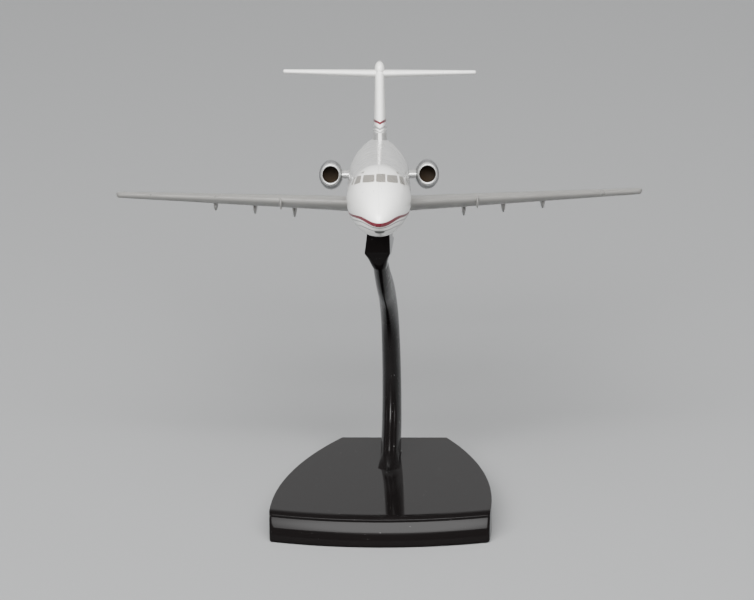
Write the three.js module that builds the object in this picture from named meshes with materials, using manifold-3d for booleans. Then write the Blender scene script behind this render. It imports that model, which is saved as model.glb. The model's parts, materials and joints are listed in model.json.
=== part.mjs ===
// Desktop model of a rear-engined T-tail airliner on a curved stand.
//
// Units are millimetres, +Z is up. The origin is under the middle of the stand, the stand's
// front faces -Y, and the airliner's nose points the same way. The airliner sits on a round pin in
// the stand's head, pitched nose up and turned a few degrees on that pin.
//
// The airliner has a frame of its own: X to its left wing, Y aft from the nose tip, Z up from
// the middle of the fuselage. All of its sizes below are in that frame.
import * as THREE from 'three';
import { mergeVertices } from 'three/addons/utils/BufferGeometryUtils.js';
import Module from 'manifold-3d';

// ---- driving dimensions: airliner ----
const LENGTH = 182;
const HALF_WIDTH = 8.35;
const HALF_HEIGHT = 9;
const SHELL_WALL = 1.5;
const SEAM_GAP = 0.05;
const JOINT_GAP = 0.12;
const NOSE_TIP_Z = -4;
const CROWN_START = 28;
const BELLY_START = 20;
const TAPER_START = 122;
const CROWN_TAPER_START = 150;
const TAIL_HALF_WIDTH = 1.1;
const TAIL_TOP_Z = 6;
const TAIL_BOTTOM_Z = 3.2;

const WING = {
  startX: 6.4, rootX: 8.75, tipX: 72.1, kinkX: 24,
  rootLead: 72.7, tipLead: 105.5,
  rootTrail: 100, kinkTrail: 101.5, tipTrail: 112,
  rootZ: -3.8, tipZ: -3.4,
  rootThick: 4, tipThick: 1.7, tipRound: 2,
  incidence: THREE.MathUtils.degToRad(6.2),
};
const WING_TAB = { innerX: 3.5, outerX: 9.1, front: 77, back: 89, z: -4.95, thick: 1.6 };
const TAB_CLEARANCE = 0.2;

const TAILPLANE = {
  startX: 1.75, rootX: 1.75, tipX: 27.95,
  rootLead: 167.5, tipLead: 179,
  rootTrail: 181.5, tipTrail: 185,
  rootZ: 26.6, tipZ: 26.6,
  rootThick: 2.4, tipThick: 1.25, tipRound: 1.4,
  incidence: THREE.MathUtils.degToRad(3),
};
const FIN = {
  rootZ: 8.1, topZ: 26,
  rootLead: 139, topLead: 164.6,
  rootTrail: 176, topTrail: 182.3,
  rootThick: 3.8, topThick: 2.8,
};
const FIN_FOOT = { half: 0.7, front: 147.3, back: 168.7, clearance: 0.25 };
const BULLET = { front: 166, back: 187, radius: 1.4, z: 27.9, height: 2.1 };
// The whole tail stands a little to the left of the fuselage's seam.
const TAIL_SHIFT = 0.3;

const ENGINE = { x: 13.42, z: 0.5, front: 122.6, length: 27, halfWidth: 3.3, halfHeight: 4.1 };
const LIP = { front: 121, halfWidth: 2.72, halfHeight: 3.15 };
const INTAKE_BORE = 2.3;
const INTAKE_DEPTH = 3.6;
const NOZZLE = { radius: 2.35, length: 4.6, wall: 0.45 };
const PYLON = { z: -0.2, thick: 2.2, front: 126, back: 147 };

const FAIRING_SPANS = [23, 33.8, 44.6];
const FAIRING = { length: 9.5, ahead: 8.1, halfWidth: 0.7, rootDrop: 3.8, dropLoss: 0.042 };
const VORTILON = { spanX: 26.4, length: 6.5, ahead: 0.9, thick: 1.2, drop: 2.8 };
const WING_CLEARANCE = 0.2;

// ---- driving dimensions: stand ----
const PITCH = THREE.MathUtils.degToRad(12.8);
const SWIVEL = THREE.MathUtils.degToRad(4.2);
const PIVOT = new THREE.Vector3(0, -4, 81.6);
const PIVOT_STATION = 75;
const BELLY_GAP = 0.3;

const BASE = {
  halfWidest: 29.75, widestY: -23, halfRear: 14.65, front: -30.5, rear: 31.7, bulge: 4.2,
  height: 8, rim: 0.3, wall: 2.2, roll: 9.65, rollTurn: 40, shoulder: 3.2, shoulderTurn: 50,
};
const FELT = { inset: 1, thick: 1.2 };
const BALLAST = { inset: 4.2, bottom: 1.5, thick: 3 };
const PIN = { radius: 1.5, depth: 5, rise: 6.2, clearance: 0.15 };
const SOCKET = { radius: 2.9, height: 5.2 };
const SPIGOT = { radius: 2.6, length: 2.6, y: 13 };
const SCREW = { radius: 1.3, headRadius: 2.9, headThick: 1.2, length: 9 };
const WASHER = { radius: 3.6, thick: 0.5 };

const HEAD = {
  halfTop: 2.9, halfLow: 3.42, halfNeck: 1.9,
  front: -8, backTop: 4.3, ledge: 4.5, back: 9.2, faceHeight: 7.9, height: 12,
};
const ARM = {
  halfWidthLow: 2.8, halfWidthHigh: 2.1, halfDepthLow: 6.2, halfDepthHigh: 3.2,
  footReach: 0.045, footWidth: 0.3, footDepth: 3,
};

const wasm = await Module();
wasm.setup();

// ---- solids ----

// A closed solid through rings of points, each ring with the same number of points.
function loft(rings) {
  const sides = rings[0].length;
  const rows = rings.length - 1;
  const geometry = new THREE.CylinderGeometry(1, 1, 1, sides, rows);
  const centres = rings.map((ring) => {
    const sum = new THREE.Vector3();
    ring.forEach((point) => sum.add(point));
    return sum.divideScalar(sides);
  });
  const position = geometry.attributes.position;
  for (let i = 0; i < position.count; i += 1) {
    const x = position.getX(i);
    const z = position.getZ(i);
    const row = Math.round((0.5 - position.getY(i)) * rows);
    const turn = Math.atan2(x, z) / (2 * Math.PI);
    const side = (Math.round(turn * sides) + sides) % sides;
    const point = Math.hypot(x, z) < 0.5 ? centres[row] : rings[row][side];
    position.setXYZ(i, point.x, point.y, point.z);
  }
  return facingOut(geometry);
}

// The same geometry with shared vertices merged and its faces pointing out.
function facingOut(geometry) {
  geometry.deleteAttribute('normal');
  geometry.deleteAttribute('uv');
  const merged = mergeVertices(geometry, 1e-5);
  const position = merged.attributes.position;
  const index = merged.index;
  const corner = [0, 1, 2].map(() => new THREE.Vector3());
  let volume = 0;
  const kept = [];
  for (let i = 0; i < index.count; i += 3) {
    const triangle = [index.getX(i), index.getX(i + 1), index.getX(i + 2)];
    if (new Set(triangle).size === 3) {
      triangle.forEach((vertex, k) => corner[k].fromBufferAttribute(position, vertex));
      volume += corner[0].dot(corner[1].clone().cross(corner[2]));
      kept.push(triangle);
    }
  }
  merged.setIndex((volume < 0 ? kept.map((t) => t.reverse()) : kept).flat());
  return merged;
}

function toManifold(geometry) {
  const merged = facingOut(geometry);
  return new wasm.Manifold(new wasm.Mesh({
    numProp: 3,
    vertProperties: new Float32Array(merged.attributes.position.array),
    triVerts: new Uint32Array(merged.index.array),
  }));
}

function fromManifold(solid) {
  const mesh = solid.getMesh();
  const geometry = new THREE.BufferGeometry();
  geometry.setAttribute('position', new THREE.BufferAttribute(mesh.vertProperties, 3));
  geometry.setIndex(new THREE.BufferAttribute(mesh.triVerts, 1));
  return geometry;
}

function cut(geometry, ...tools) {
  const solids = tools.map(toManifold);
  return fromManifold(solids.reduce((body, tool) => body.subtract(tool), toManifold(geometry)));
}

function join(geometry, ...others) {
  const solids = others.map(toManifold);
  return fromManifold(solids.reduce((body, other) => body.add(other), toManifold(geometry)));
}

function common(first, second) {
  return fromManifold(toManifold(first).intersect(toManifold(second)));
}

// A box between two corners.
function boxBetween(low, high) {
  const size = high.map((value, axis) => value - low[axis]);
  const box = new THREE.BoxGeometry(...size);
  return box.translate(...high.map((value, axis) => (value + low[axis]) / 2));
}

// An upright cylinder standing on the given height.
function post(radius, height, x, y, z, sides = 24) {
  const cylinder = new THREE.CylinderGeometry(radius, radius, height, sides);
  return cylinder.rotateX(Math.PI / 2).translate(x, y, z + height / 2);
}

// A cylinder along Y from one station to the other.
function rod(radius, front, back, x, z, sides = 24) {
  const cylinder = new THREE.CylinderGeometry(radius, radius, back - front, sides);
  return cylinder.translate(x, (front + back) / 2, z);
}

function mesh(name, geometry, finish) {
  const piece = new THREE.Mesh(geometry, finish());
  piece.name = name;
  return piece;
}

// ---- finishes ----
const plastic = (color, roughness, metalness = 0) => () => (
  new THREE.MeshStandardMaterial({ color, roughness, metalness })
);
const WHITE_GLOSS = plastic(0xe9e8e3, 0.25);
const WING_GREY = plastic(0xa9a9a6, 0.4, 0.2);
const ENGINE_GREY = plastic(0x8e9092, 0.35, 0.5);
const BRIGHT_METAL = plastic(0xdcdcd8, 0.18, 0.9);
const DARK_BLANK = plastic(0x1a1512, 0.7);
const FAIRING_GREY = plastic(0x6d6e6f, 0.45);
const BLACK_GLOSS = plastic(0x141213, 0.12);
const STEEL = plastic(0x9a9a9a, 0.35, 1);
const FELT_BLACK = plastic(0x1b1b1c, 0.95);

// ---- airliner: fuselage ----

// Rises from 0 to 1 like a quarter of an ellipse, and stays at 1.
function swell(distance, length, power = 0.5) {
  const left = Math.max(0, 1 - distance / length);
  return (1 - left * left) ** power;
}

function taper(distance, power) {
  return Math.max(0, distance) ** power;
}

function fuselageSize(station) {
  const tail = (station - TAPER_START) / (LENGTH - TAPER_START);
  const crownTail = (station - CROWN_TAPER_START) / (LENGTH - CROWN_TAPER_START);
  const noseTop = NOSE_TIP_Z + (HALF_HEIGHT - NOSE_TIP_Z) * swell(station, CROWN_START, 0.62);
  const noseBottom = NOSE_TIP_Z - (HALF_HEIGHT + NOSE_TIP_Z) * swell(station, BELLY_START, 0.6);
  return {
    half: HALF_WIDTH * swell(station, CROWN_START, 0.6) - (HALF_WIDTH - TAIL_HALF_WIDTH) * taper(tail, 1.7),
    top: noseTop - (HALF_HEIGHT - TAIL_TOP_Z) * taper(crownTail, 1.6),
    bottom: noseBottom + (HALF_HEIGHT + TAIL_BOTTOM_Z) * taper(tail, 1.6),
  };
}

function fuselageRing(station, inset, sides) {
  const { half, top, bottom } = fuselageSize(station);
  const middle = (top + bottom) / 2;
  const ring = [];
  for (let i = 0; i < sides; i += 1) {
    const angle = (2 * Math.PI * (i + 0.5)) / sides;
    ring.push(new THREE.Vector3(
      (half - inset) * Math.sin(angle),
      station,
      middle + ((top - bottom) / 2 - inset) * Math.cos(angle),
    ));
  }
  return ring;
}

function stations(first, last, count, ease = 1) {
  return Array.from({ length: count + 1 }, (_, i) => first + (last - first) * (i / count) ** ease);
}

function fuselageSolid(inset) {
  const along = [
    ...stations(0.12, CROWN_START, 12, 1.9),
    ...stations(48, TAPER_START, 3),
    ...stations(TAPER_START + 6, LENGTH, 9),
  ];
  return loft(along.map((station) => fuselageRing(station, inset, 28)));
}

function fuselageShells() {
  const innerStations = [...stations(8, CROWN_START, 4), 75, ...stations(TAPER_START, 160, 5)];
  const hollow = loft(innerStations.map((station) => fuselageRing(station, SHELL_WALL, 20)));
  const pinHole = post(PIN.radius + PIN.clearance, 6, 0, PIVOT_STATION, -HALF_HEIGHT - 2);
  const slots = [1, -1].map((side) => wingTab(side, TAB_CLEARANCE));
  const shell = cut(fuselageSolid(0), hollow, pinHole, ...slots, finFoot(FIN_FOOT.clearance));
  const reach = 20;
  return [1, -1].map((side) => {
    const inner = side > 0 ? SEAM_GAP : -reach;
    const outerX = side > 0 ? reach : -SEAM_GAP;
    return common(shell, boxBetween([inner, -5, -reach], [outerX, LENGTH + 5, reach]));
  });
}

// ---- airliner: wings and tail ----

// Half the thickness of a wing section of thickness 1, from 0 at the leading edge to 1 behind.
function foil(along) {
  return 1.4845 * Math.sqrt(along) - 0.63 * along - 1.758 * along ** 2 + 1.4215 * along ** 3
    - 0.48 * along ** 4;
}

// A ring in the shape of a symmetrical wing section, from the trailing edge round to itself.
function foilRing(lead, trail, thick, place, sides = 18) {
  const ring = [];
  for (let i = 0; i < sides; i += 1) {
    const angle = (2 * Math.PI * i) / sides;
    const along = (1 + Math.cos(angle)) / 2;
    ring.push(place(lead + (trail - lead) * along, Math.sign(Math.sin(angle)) * foil(along) * thick));
  }
  return ring;
}

const mix = THREE.MathUtils.lerp;

// Where a wing-like surface is at one distance out, with its edges drawn in round the tip.
function panelAt(panel, x) {
  const out = (x - panel.rootX) / (panel.tipX - panel.rootX);
  let trail = mix(panel.rootTrail, panel.tipTrail, out);
  if (panel.kinkX && x < panel.kinkX) {
    trail = mix(panel.rootTrail, panel.kinkTrail, (x - panel.rootX) / (panel.kinkX - panel.rootX));
  } else if (panel.kinkX) {
    trail = mix(panel.kinkTrail, panel.tipTrail, (x - panel.kinkX) / (panel.tipX - panel.kinkX));
  }
  const round = Math.sqrt(1 - Math.max(0, 1 - (panel.tipX - x) / panel.tipRound) ** 2);
  const lead = mix(panel.rootLead, panel.tipLead, out);
  const draw = (1 - round) * (trail - lead) * 0.4;
  return {
    lead: lead + draw,
    trail: trail - draw * 0.5,
    z: mix(panel.rootZ, panel.tipZ, out),
    thick: mix(panel.rootThick, panel.tipThick, out) * Math.max(round, 0.12),
  };
}

// Height of a panel's chord plane, which drops towards the trailing edge.
function chordHeight(panel, x, y) {
  const { lead, z } = panelAt(panel, x);
  return z - (y - lead) * Math.tan(panel.incidence);
}

function panelSolid(panel, side) {
  const { startX, rootX, tipX, tipRound } = panel;
  const cornerStart = tipX - tipRound;
  const spans = [
    ...stations(startX, panel.kinkX ?? mix(rootX, tipX, 0.4), 2),
    ...stations(mix(rootX, tipX, 0.5), cornerStart, 2),
    ...stations(mix(cornerStart, tipX, 0.35), tipX, 3),
  ];
  return loft(spans.map((x) => {
    const { lead, trail, thick } = panelAt(panel, x);
    return foilRing(lead, trail, thick, (y, rise) => (
      new THREE.Vector3(side * x, y, chordHeight(panel, x, y) + rise)
    ));
  }));
}

// The flat tab by which a wing plugs into the slot in the fuselage side.
function wingTab(side, clearance) {
  const { innerX, outerX, front, back, z, thick } = WING_TAB;
  const halfThick = thick / 2 + clearance;
  const ends = [side * (innerX - clearance), side * outerX].sort((a, b) => a - b);
  return boxBetween(
    [ends[0], front - clearance, z - halfThick],
    [ends[1], back + clearance, z + halfThick],
  );
}

// A wing, its root cut to the fuselage side.
function wing(side) {
  return join(cut(panelSolid(WING, side), fuselageSolid(-JOINT_GAP)), wingTab(side, 0));
}

function tailplane(side) {
  return panelSolid(TAILPLANE, side).translate(TAIL_SHIFT, 0, 0);
}

// The tongue under the fin that plugs into the top of the fuselage.
function finFoot(clearance) {
  const { half, front, back } = FIN_FOOT;
  return boxBetween(
    [TAIL_SHIFT - half - clearance, front - clearance, 6.3 - clearance],
    [TAIL_SHIFT + half + clearance, back + clearance, FIN.rootZ + 2],
  );
}

function finSolid() {
  const heights = [FIN.rootZ - 1, 13, 18, FIN.topZ];
  const blade = loft(heights.map((z) => {
    const up = (z - FIN.rootZ) / (FIN.topZ - FIN.rootZ);
    const lead = mix(FIN.rootLead, FIN.topLead, up);
    const trail = mix(FIN.rootTrail, FIN.topTrail, up);
    const thick = mix(FIN.rootThick, FIN.topThick, up);
    return foilRing(lead, trail, thick, (y, x) => new THREE.Vector3(TAIL_SHIFT + x, y, z));
  }));
  return join(cut(blade, fuselageSolid(-JOINT_GAP)), finFoot(0));
}

function bulletSolid() {
  const rings = stations(0, 1, 10).map((t) => {
    const station = mix(BULLET.front, BULLET.back, t);
    const full = Math.max(0.12, Math.sin(Math.PI * t ** 0.75) ** 0.6);
    return Array.from({ length: 16 }, (_, i) => {
      const angle = (2 * Math.PI * i) / 16;
      return new THREE.Vector3(
        TAIL_SHIFT + BULLET.radius * full * Math.sin(angle),
        station,
        BULLET.z + BULLET.height * full * Math.cos(angle),
      );
    });
  });
  const room = boxBetween([-3, FIN.topLead - 6, BULLET.z - 4], [3, FIN.topTrail + 8, FIN.topZ + 0.15]);
  return cut(loft(rings), room);
}

// ---- airliner: engines ----

function ovalRing(station, halfWidth, halfHeight, x, z, sides = 28) {
  return Array.from({ length: sides }, (_, i) => {
    const angle = (2 * Math.PI * i) / sides;
    return new THREE.Vector3(x + halfWidth * Math.sin(angle), station, z + halfHeight * Math.cos(angle));
  });
}

function nacelleSolid(side, inset) {
  const { x, z, front, length, halfWidth, halfHeight } = ENGINE;
  const profile = [[0, 0.8], [0.05, 0.88], [0.14, 0.96], [0.3, 1], [0.55, 1], [0.8, 0.9], [1, 0.74]];
  return loft(profile.map(([t, grow]) => (
    ovalRing(front + t * length, halfWidth * grow - inset, halfHeight * grow - inset, side * x, z)
  )));
}

function nacelle(side) {
  const x = side * ENGINE.x;
  const { z, front, length } = ENGINE;
  const intake = rod(INTAKE_BORE, front - 1, front + INTAKE_DEPTH + 2, x, z);
  const outlet = rod(NOZZLE.radius + 0.15, front + length - 6, front + length + 1, x, z);
  return cut(nacelleSolid(side, 0), intake, outlet);
}

function intakeLip(side) {
  const x = side * ENGINE.x;
  const back = ENGINE.front - 0.1;
  const depth = back - LIP.front;
  const grown = [[0, 0.88], [0.12, 0.95], [0.4, 1], [1, 1.03]];
  const ring = loft(grown.map(([t, grow]) => (
    ovalRing(LIP.front + t * depth, LIP.halfWidth * grow, LIP.halfHeight * grow, x, ENGINE.z)
  )));
  return cut(ring, rod(INTAKE_BORE, LIP.front - 1, back + 1, x, ENGINE.z));
}

function intakeBlank(side) {
  const front = ENGINE.front + INTAKE_DEPTH - 1;
  return rod(INTAKE_BORE - 0.1, front, front + 2, side * ENGINE.x, ENGINE.z);
}

function exhaustNozzle(side) {
  const x = side * ENGINE.x;
  const front = ENGINE.front + ENGINE.length - 2.6;
  const back = front + NOZZLE.length;
  return cut(
    rod(NOZZLE.radius, front, back, x, ENGINE.z),
    rod(NOZZLE.radius - NOZZLE.wall, front + 0.6, back + 1, x, ENGINE.z),
  );
}

function exhaustCone(side) {
  const front = ENGINE.front + ENGINE.length - 1.85;
  const cone = new THREE.ConeGeometry(1.2, 4.2, 20);
  return cone.translate(side * ENGINE.x, front + 2.1, ENGINE.z);
}

// The stub between the fuselage side and the engine, trimmed to meet both.
function pylon(side) {
  const panel = loft([5, 12].map((x) => foilRing(PYLON.front, PYLON.back, PYLON.thick, (y, rise) => (
    new THREE.Vector3(side * x, y, PYLON.z + rise)
  ))));
  return cut(panel, fuselageSolid(-JOINT_GAP), nacelleSolid(side, -JOINT_GAP));
}

// ---- airliner: under the wings ----

// The wing with a thin skin of air round it, for trimming what hangs below it.
function wingRoom(side) {
  const rootThick = WING.rootThick + WING_CLEARANCE;
  const tipThick = WING.tipThick + WING_CLEARANCE;
  return panelSolid({ ...WING, rootThick, tipThick }, side);
}

// The section of a flap fairing, as shares of its half width and of its depth.
const KEEL = [[-1, 0], [-1, 0.35], [-0.62, 0.8], [-0.3, 1], [0.3, 1], [0.62, 0.8], [1, 0.35], [1, 0]];

// A slim keel that hangs below the wing where a flap hinge is.
function flapFairing(side, x) {
  const start = panelAt(WING, x).trail - FAIRING.ahead;
  const drop = FAIRING.rootDrop - (x - FAIRING_SPANS[0]) * FAIRING.dropLoss;
  const rings = stations(0, 1, 6).map((t) => {
    const fullness = Math.max(0.15, Math.sin(Math.PI * (0.12 + 0.82 * t)) ** 0.7);
    const half = FAIRING.halfWidth * fullness;
    const y = start + FAIRING.length * t;
    const top = chordHeight(WING, x, y) - WING_CLEARANCE;
    return KEEL.map(([across, down]) => (
      new THREE.Vector3(side * x + across * half, y, top - drop * fullness * down)
    ));
  });
  return cut(loft(rings), wingRoom(side));
}

// The small fence under each wing's leading edge.
function vortilon(side) {
  const { spanX, length, ahead, thick, drop } = VORTILON;
  const { lead, z } = panelAt(WING, spanX);
  const front = lead - ahead;
  const outline = new THREE.Shape();
  outline.moveTo(front, z - 0.3);
  outline.quadraticCurveTo(front + 0.2, z - drop, lead + 2.2, z - drop - 0.6);
  outline.quadraticCurveTo(lead + 4.5, z - drop - 0.3, front + length, z - 2.4);
  outline.lineTo(front + length, z - 0.8);
  const plate = new THREE.ExtrudeGeometry(outline, { depth: thick, bevelEnabled: false, curveSegments: 6 });
  // The outline is drawn in Y and Z, so the plate is turned to stand fore and aft.
  const turned = plate.applyMatrix4(new THREE.Matrix4().set(0, 0, 1, 0, 1, 0, 0, 0, 0, 1, 0, 0, 0, 0, 0, 1));
  turned.translate(side * spanX - thick / 2, 0, 0);
  return cut(turned, wingRoom(side));
}

// ---- stand ----

// The plan of the base: a straight rear edge, bowed sides and a bowed front.
function baseRing(inset, frontInset, z) {
  const { halfWidest, widestY, halfRear, front, rear, bulge } = BASE;
  const draw = halfWidest - halfRear;
  const sideRadius = ((rear - widestY) ** 2 + draw ** 2) / (2 * draw);
  const sideX = (y) => halfWidest - sideRadius + Math.sqrt(sideRadius ** 2 - (y - widestY) ** 2) - inset;
  const cornerY = front + inset + frontInset;
  const cornerX = sideX(cornerY);
  const frontRadius = (cornerX ** 2 + bulge ** 2) / (2 * bulge);
  const frontY = (x) => cornerY + frontRadius - bulge - Math.sqrt(frontRadius ** 2 - x ** 2);
  const steps = 12;
  const ring = stations(-cornerX, cornerX, steps).map((x) => new THREE.Vector3(x, frontY(x), z));
  const backwards = stations(cornerY, rear - inset, steps + 1).slice(1);
  const right = backwards.map((y) => new THREE.Vector3(sideX(y), y, z));
  const left = [...right].reverse().map((point) => new THREE.Vector3(-point.x, point.y, z));
  return [...ring, ...right, ...left];
}

function basePlate(inset, bottom, top) {
  return loft([bottom, top].map((z) => baseRing(inset, 0, z)));
}

// The front's profile from the bottom up: a long roll back, a crease, and a round shoulder.
function baseFront() {
  const { rim, height, roll, rollTurn, shoulder, shoulderTurn } = BASE;
  const degrees = THREE.MathUtils.degToRad;
  const lower = stations(0, degrees(rollTurn), 5).map((turn) => (
    [rim + roll * Math.sin(turn), roll * (1 - Math.cos(turn))]
  ));
  const crease = lower.at(-1)[1] + 0.3;
  const upper = stations(degrees(shoulderTurn), Math.PI / 2, 4).map((turn) => [
    height - shoulder * (1 - Math.sin(turn)),
    crease + shoulder * (Math.cos(degrees(shoulderTurn)) - Math.cos(turn)),
  ]);
  return [...lower, ...upper];
}

function baseShell() {
  const { height, wall } = BASE;
  const body = loft(baseFront().map(([z, back]) => baseRing(0, back, z)));
  const hollow = loft([[-1, 0.4], [4, 0.8], [height - wall, 2.6]].map(([z, frontInset]) => (
    baseRing(wall, frontInset, z)
  )));
  return cut(body, hollow, post(SPIGOT.radius + 0.2, 4, 0, SPIGOT.y, height - 3));
}

function feltPad() {
  return cut(basePlate(BASE.wall + FELT.inset, 0, FELT.thick), post(4.2, 3, 0, SPIGOT.y, -1));
}

function ballastPlate() {
  const plate = basePlate(BALLAST.inset, BALLAST.bottom, BALLAST.bottom + BALLAST.thick);
  return cut(plate, post(4.2, 6, 0, SPIGOT.y, 0));
}

// The middle line of the arm, from its foot on the base up to the neck under the head.
const ARM_LINE = new THREE.CatmullRomCurve3([
  [13, 8], [20.5, 16], [24.2, 26], [24.8, 36], [22.6, 46], [14.6, 55.5], [2.5, 63.8], [-7.6, 72.2],
].map(([y, z]) => new THREE.Vector3(0, y, z)));

// One cross-section of the arm: a deep oval, flared at the foot.
function armRing(t) {
  const centre = ARM_LINE.getPoint(t);
  const tangent = ARM_LINE.getTangent(t);
  const foot = Math.max(0, 1 - t / ARM.footReach) ** 1.6;
  const along = new THREE.Vector3(0, mix(tangent.z, 1, foot), -tangent.y * (1 - foot)).normalize();
  const halfWidth = mix(ARM.halfWidthLow, ARM.halfWidthHigh, t ** 0.8) + ARM.footWidth * foot;
  const halfDepth = mix(ARM.halfDepthLow, ARM.halfDepthHigh, t ** 3) + ARM.footDepth * foot;
  return Array.from({ length: 20 }, (_, i) => {
    const angle = (2 * Math.PI * i) / 20;
    const point = centre.clone().addScaledVector(along, halfDepth * Math.cos(angle));
    return point.setX(halfWidth * Math.sin(angle));
  });
}

// The block on top of the arm, in the frame of the tilted pivot: the solid common to a side view
// (a flat face in front, a ledge behind) and a front view (sides that lean out, then a funnel).
function headBlock() {
  const { halfTop, halfLow, halfNeck, front, backTop, ledge, back, faceHeight, height } = HEAD;
  const sideView = new THREE.Shape();
  sideView.moveTo(front, 0);
  sideView.lineTo(backTop, 0);
  sideView.lineTo(backTop, -ledge);
  sideView.lineTo(back, -ledge - 0.3);
  sideView.quadraticCurveTo(back - 3, -faceHeight, 1.8, -height);
  sideView.lineTo(-5.2, -height);
  sideView.lineTo(front, -faceHeight);
  const sides = new THREE.ExtrudeGeometry(sideView, { depth: 10, bevelEnabled: false, curveSegments: 8 });
  sides.applyMatrix4(new THREE.Matrix4().set(0, 0, 1, -5, 1, 0, 0, 0, 0, 1, 0, 0, 0, 0, 0, 1));
  const frontView = new THREE.Shape();
  frontView.moveTo(-halfTop, 0);
  frontView.lineTo(-halfLow, -faceHeight);
  frontView.quadraticCurveTo(-halfNeck - 0.3, -height + 2, -halfNeck, -height - 1);
  frontView.lineTo(halfNeck, -height - 1);
  frontView.quadraticCurveTo(halfNeck + 0.3, -height + 2, halfLow, -faceHeight);
  frontView.lineTo(halfTop, 0);
  const fronts = new THREE.ExtrudeGeometry(frontView, { depth: 40, bevelEnabled: false, curveSegments: 6 });
  fronts.rotateX(Math.PI / 2).translate(0, 20, 0);
  return common(sides, fronts);
}

function toPivotFrame(geometry) {
  return geometry.rotateX(-PITCH).translate(...PIVOT.toArray());
}

function standArm() {
  const rise = loft(stations(0, 1, 22).map(armRing));
  const spigot = post(SPIGOT.radius, SPIGOT.length + 1, 0, SPIGOT.y, BASE.height - SPIGOT.length);
  const whole = join(rise, spigot, toPivotFrame(headBlock()));
  const pinBore = toPivotFrame(post(PIN.radius + PIN.clearance, PIN.depth + 2, 0, 0, -PIN.depth - 0.3));
  const screwBore = post(SCREW.radius + 0.1, SCREW.length, 0, SPIGOT.y, 3.5);
  return cut(whole, pinBore, screwBore);
}

function mountingPin() {
  return toPivotFrame(post(PIN.radius, PIN.depth + PIN.rise, 0, 0, -PIN.depth));
}

function washer() {
  const z = BASE.height - SPIGOT.length - 0.15 - WASHER.thick;
  return cut(
    post(WASHER.radius, WASHER.thick, 0, SPIGOT.y, z),
    post(SCREW.radius + 0.2, 3, 0, SPIGOT.y, z - 1),
  );
}

function armScrew() {
  const top = BASE.height - SPIGOT.length - 0.3 - WASHER.thick;
  const head = post(SCREW.headRadius, SCREW.headThick, 0, SPIGOT.y, top - SCREW.headThick);
  const shank = post(SCREW.radius, SCREW.length - 2, 0, SPIGOT.y, top - 0.5, 16);
  const slot = boxBetween([-4, SPIGOT.y - 0.35, 0], [4, SPIGOT.y + 0.35, top - SCREW.headThick + 0.6]);
  return cut(join(head, shank), slot);
}

// The round boss inside the belly that the pin slides into.
function standSocket() {
  const floor = -HALF_HEIGHT + SHELL_WALL + 0.85;
  return cut(
    post(SOCKET.radius, SOCKET.height, 0, PIVOT_STATION, floor, 28),
    post(PIN.radius + PIN.clearance, SOCKET.height + 2, 0, PIVOT_STATION, floor - 1),
  );
}

// ---- assembly ----

const model = new THREE.Group();

const stand = new THREE.Group();
stand.add(mesh('base_shell', baseShell(), BLACK_GLOSS));
stand.add(mesh('base_felt_pad', feltPad(), FELT_BLACK));
stand.add(mesh('base_ballast_plate', ballastPlate(), STEEL));
stand.add(mesh('stand_arm', standArm(), BLACK_GLOSS));
stand.add(mesh('arm_screw', armScrew(), STEEL));
stand.add(mesh('arm_washer', washer(), STEEL));
stand.add(mesh('mounting_pin', mountingPin(), STEEL));
model.add(stand);

const tilt = new THREE.Group();
tilt.position.copy(PIVOT);
tilt.rotation.x = -PITCH;
model.add(tilt);

const airliner = new THREE.Group();
airliner.rotation.z = SWIVEL;
tilt.add(airliner);

const airframe = new THREE.Group();
airframe.position.set(0, -PIVOT_STATION, HALF_HEIGHT + BELLY_GAP);
airliner.add(airframe);

const [leftShell, rightShell] = fuselageShells();
airframe.add(mesh('fuselage_left', leftShell, WHITE_GLOSS));
airframe.add(mesh('fuselage_right', rightShell, WHITE_GLOSS));
airframe.add(mesh('stand_socket', standSocket(), FAIRING_GREY));
airframe.add(mesh('tail_fin', finSolid(), WHITE_GLOSS));
airframe.add(mesh('tailplane_bullet', bulletSolid(), WHITE_GLOSS));

for (const [label, side] of [['left', 1], ['right', -1]]) {
  airframe.add(mesh(`wing_${label}`, wing(side), WING_GREY));
  airframe.add(mesh(`tailplane_${label}`, tailplane(side), WHITE_GLOSS));
  airframe.add(mesh(`engine_pylon_${label}`, pylon(side), ENGINE_GREY));
  airframe.add(mesh(`engine_nacelle_${label}`, nacelle(side), ENGINE_GREY));
  airframe.add(mesh(`intake_lip_${label}`, intakeLip(side), BRIGHT_METAL));
  airframe.add(mesh(`intake_blank_${label}`, intakeBlank(side), DARK_BLANK));
  airframe.add(mesh(`exhaust_nozzle_${label}`, exhaustNozzle(side), BRIGHT_METAL));
  airframe.add(mesh(`exhaust_cone_${label}`, exhaustCone(side), ENGINE_GREY));
  airframe.add(mesh(`vortilon_${label}`, vortilon(side), WING_GREY));
  FAIRING_SPANS.forEach((x, i) => {
    airframe.add(mesh(`flap_fairing_${label}_${i + 1}`, flapFairing(side, x), FAIRING_GREY));
  });
}

export default model;
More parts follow.
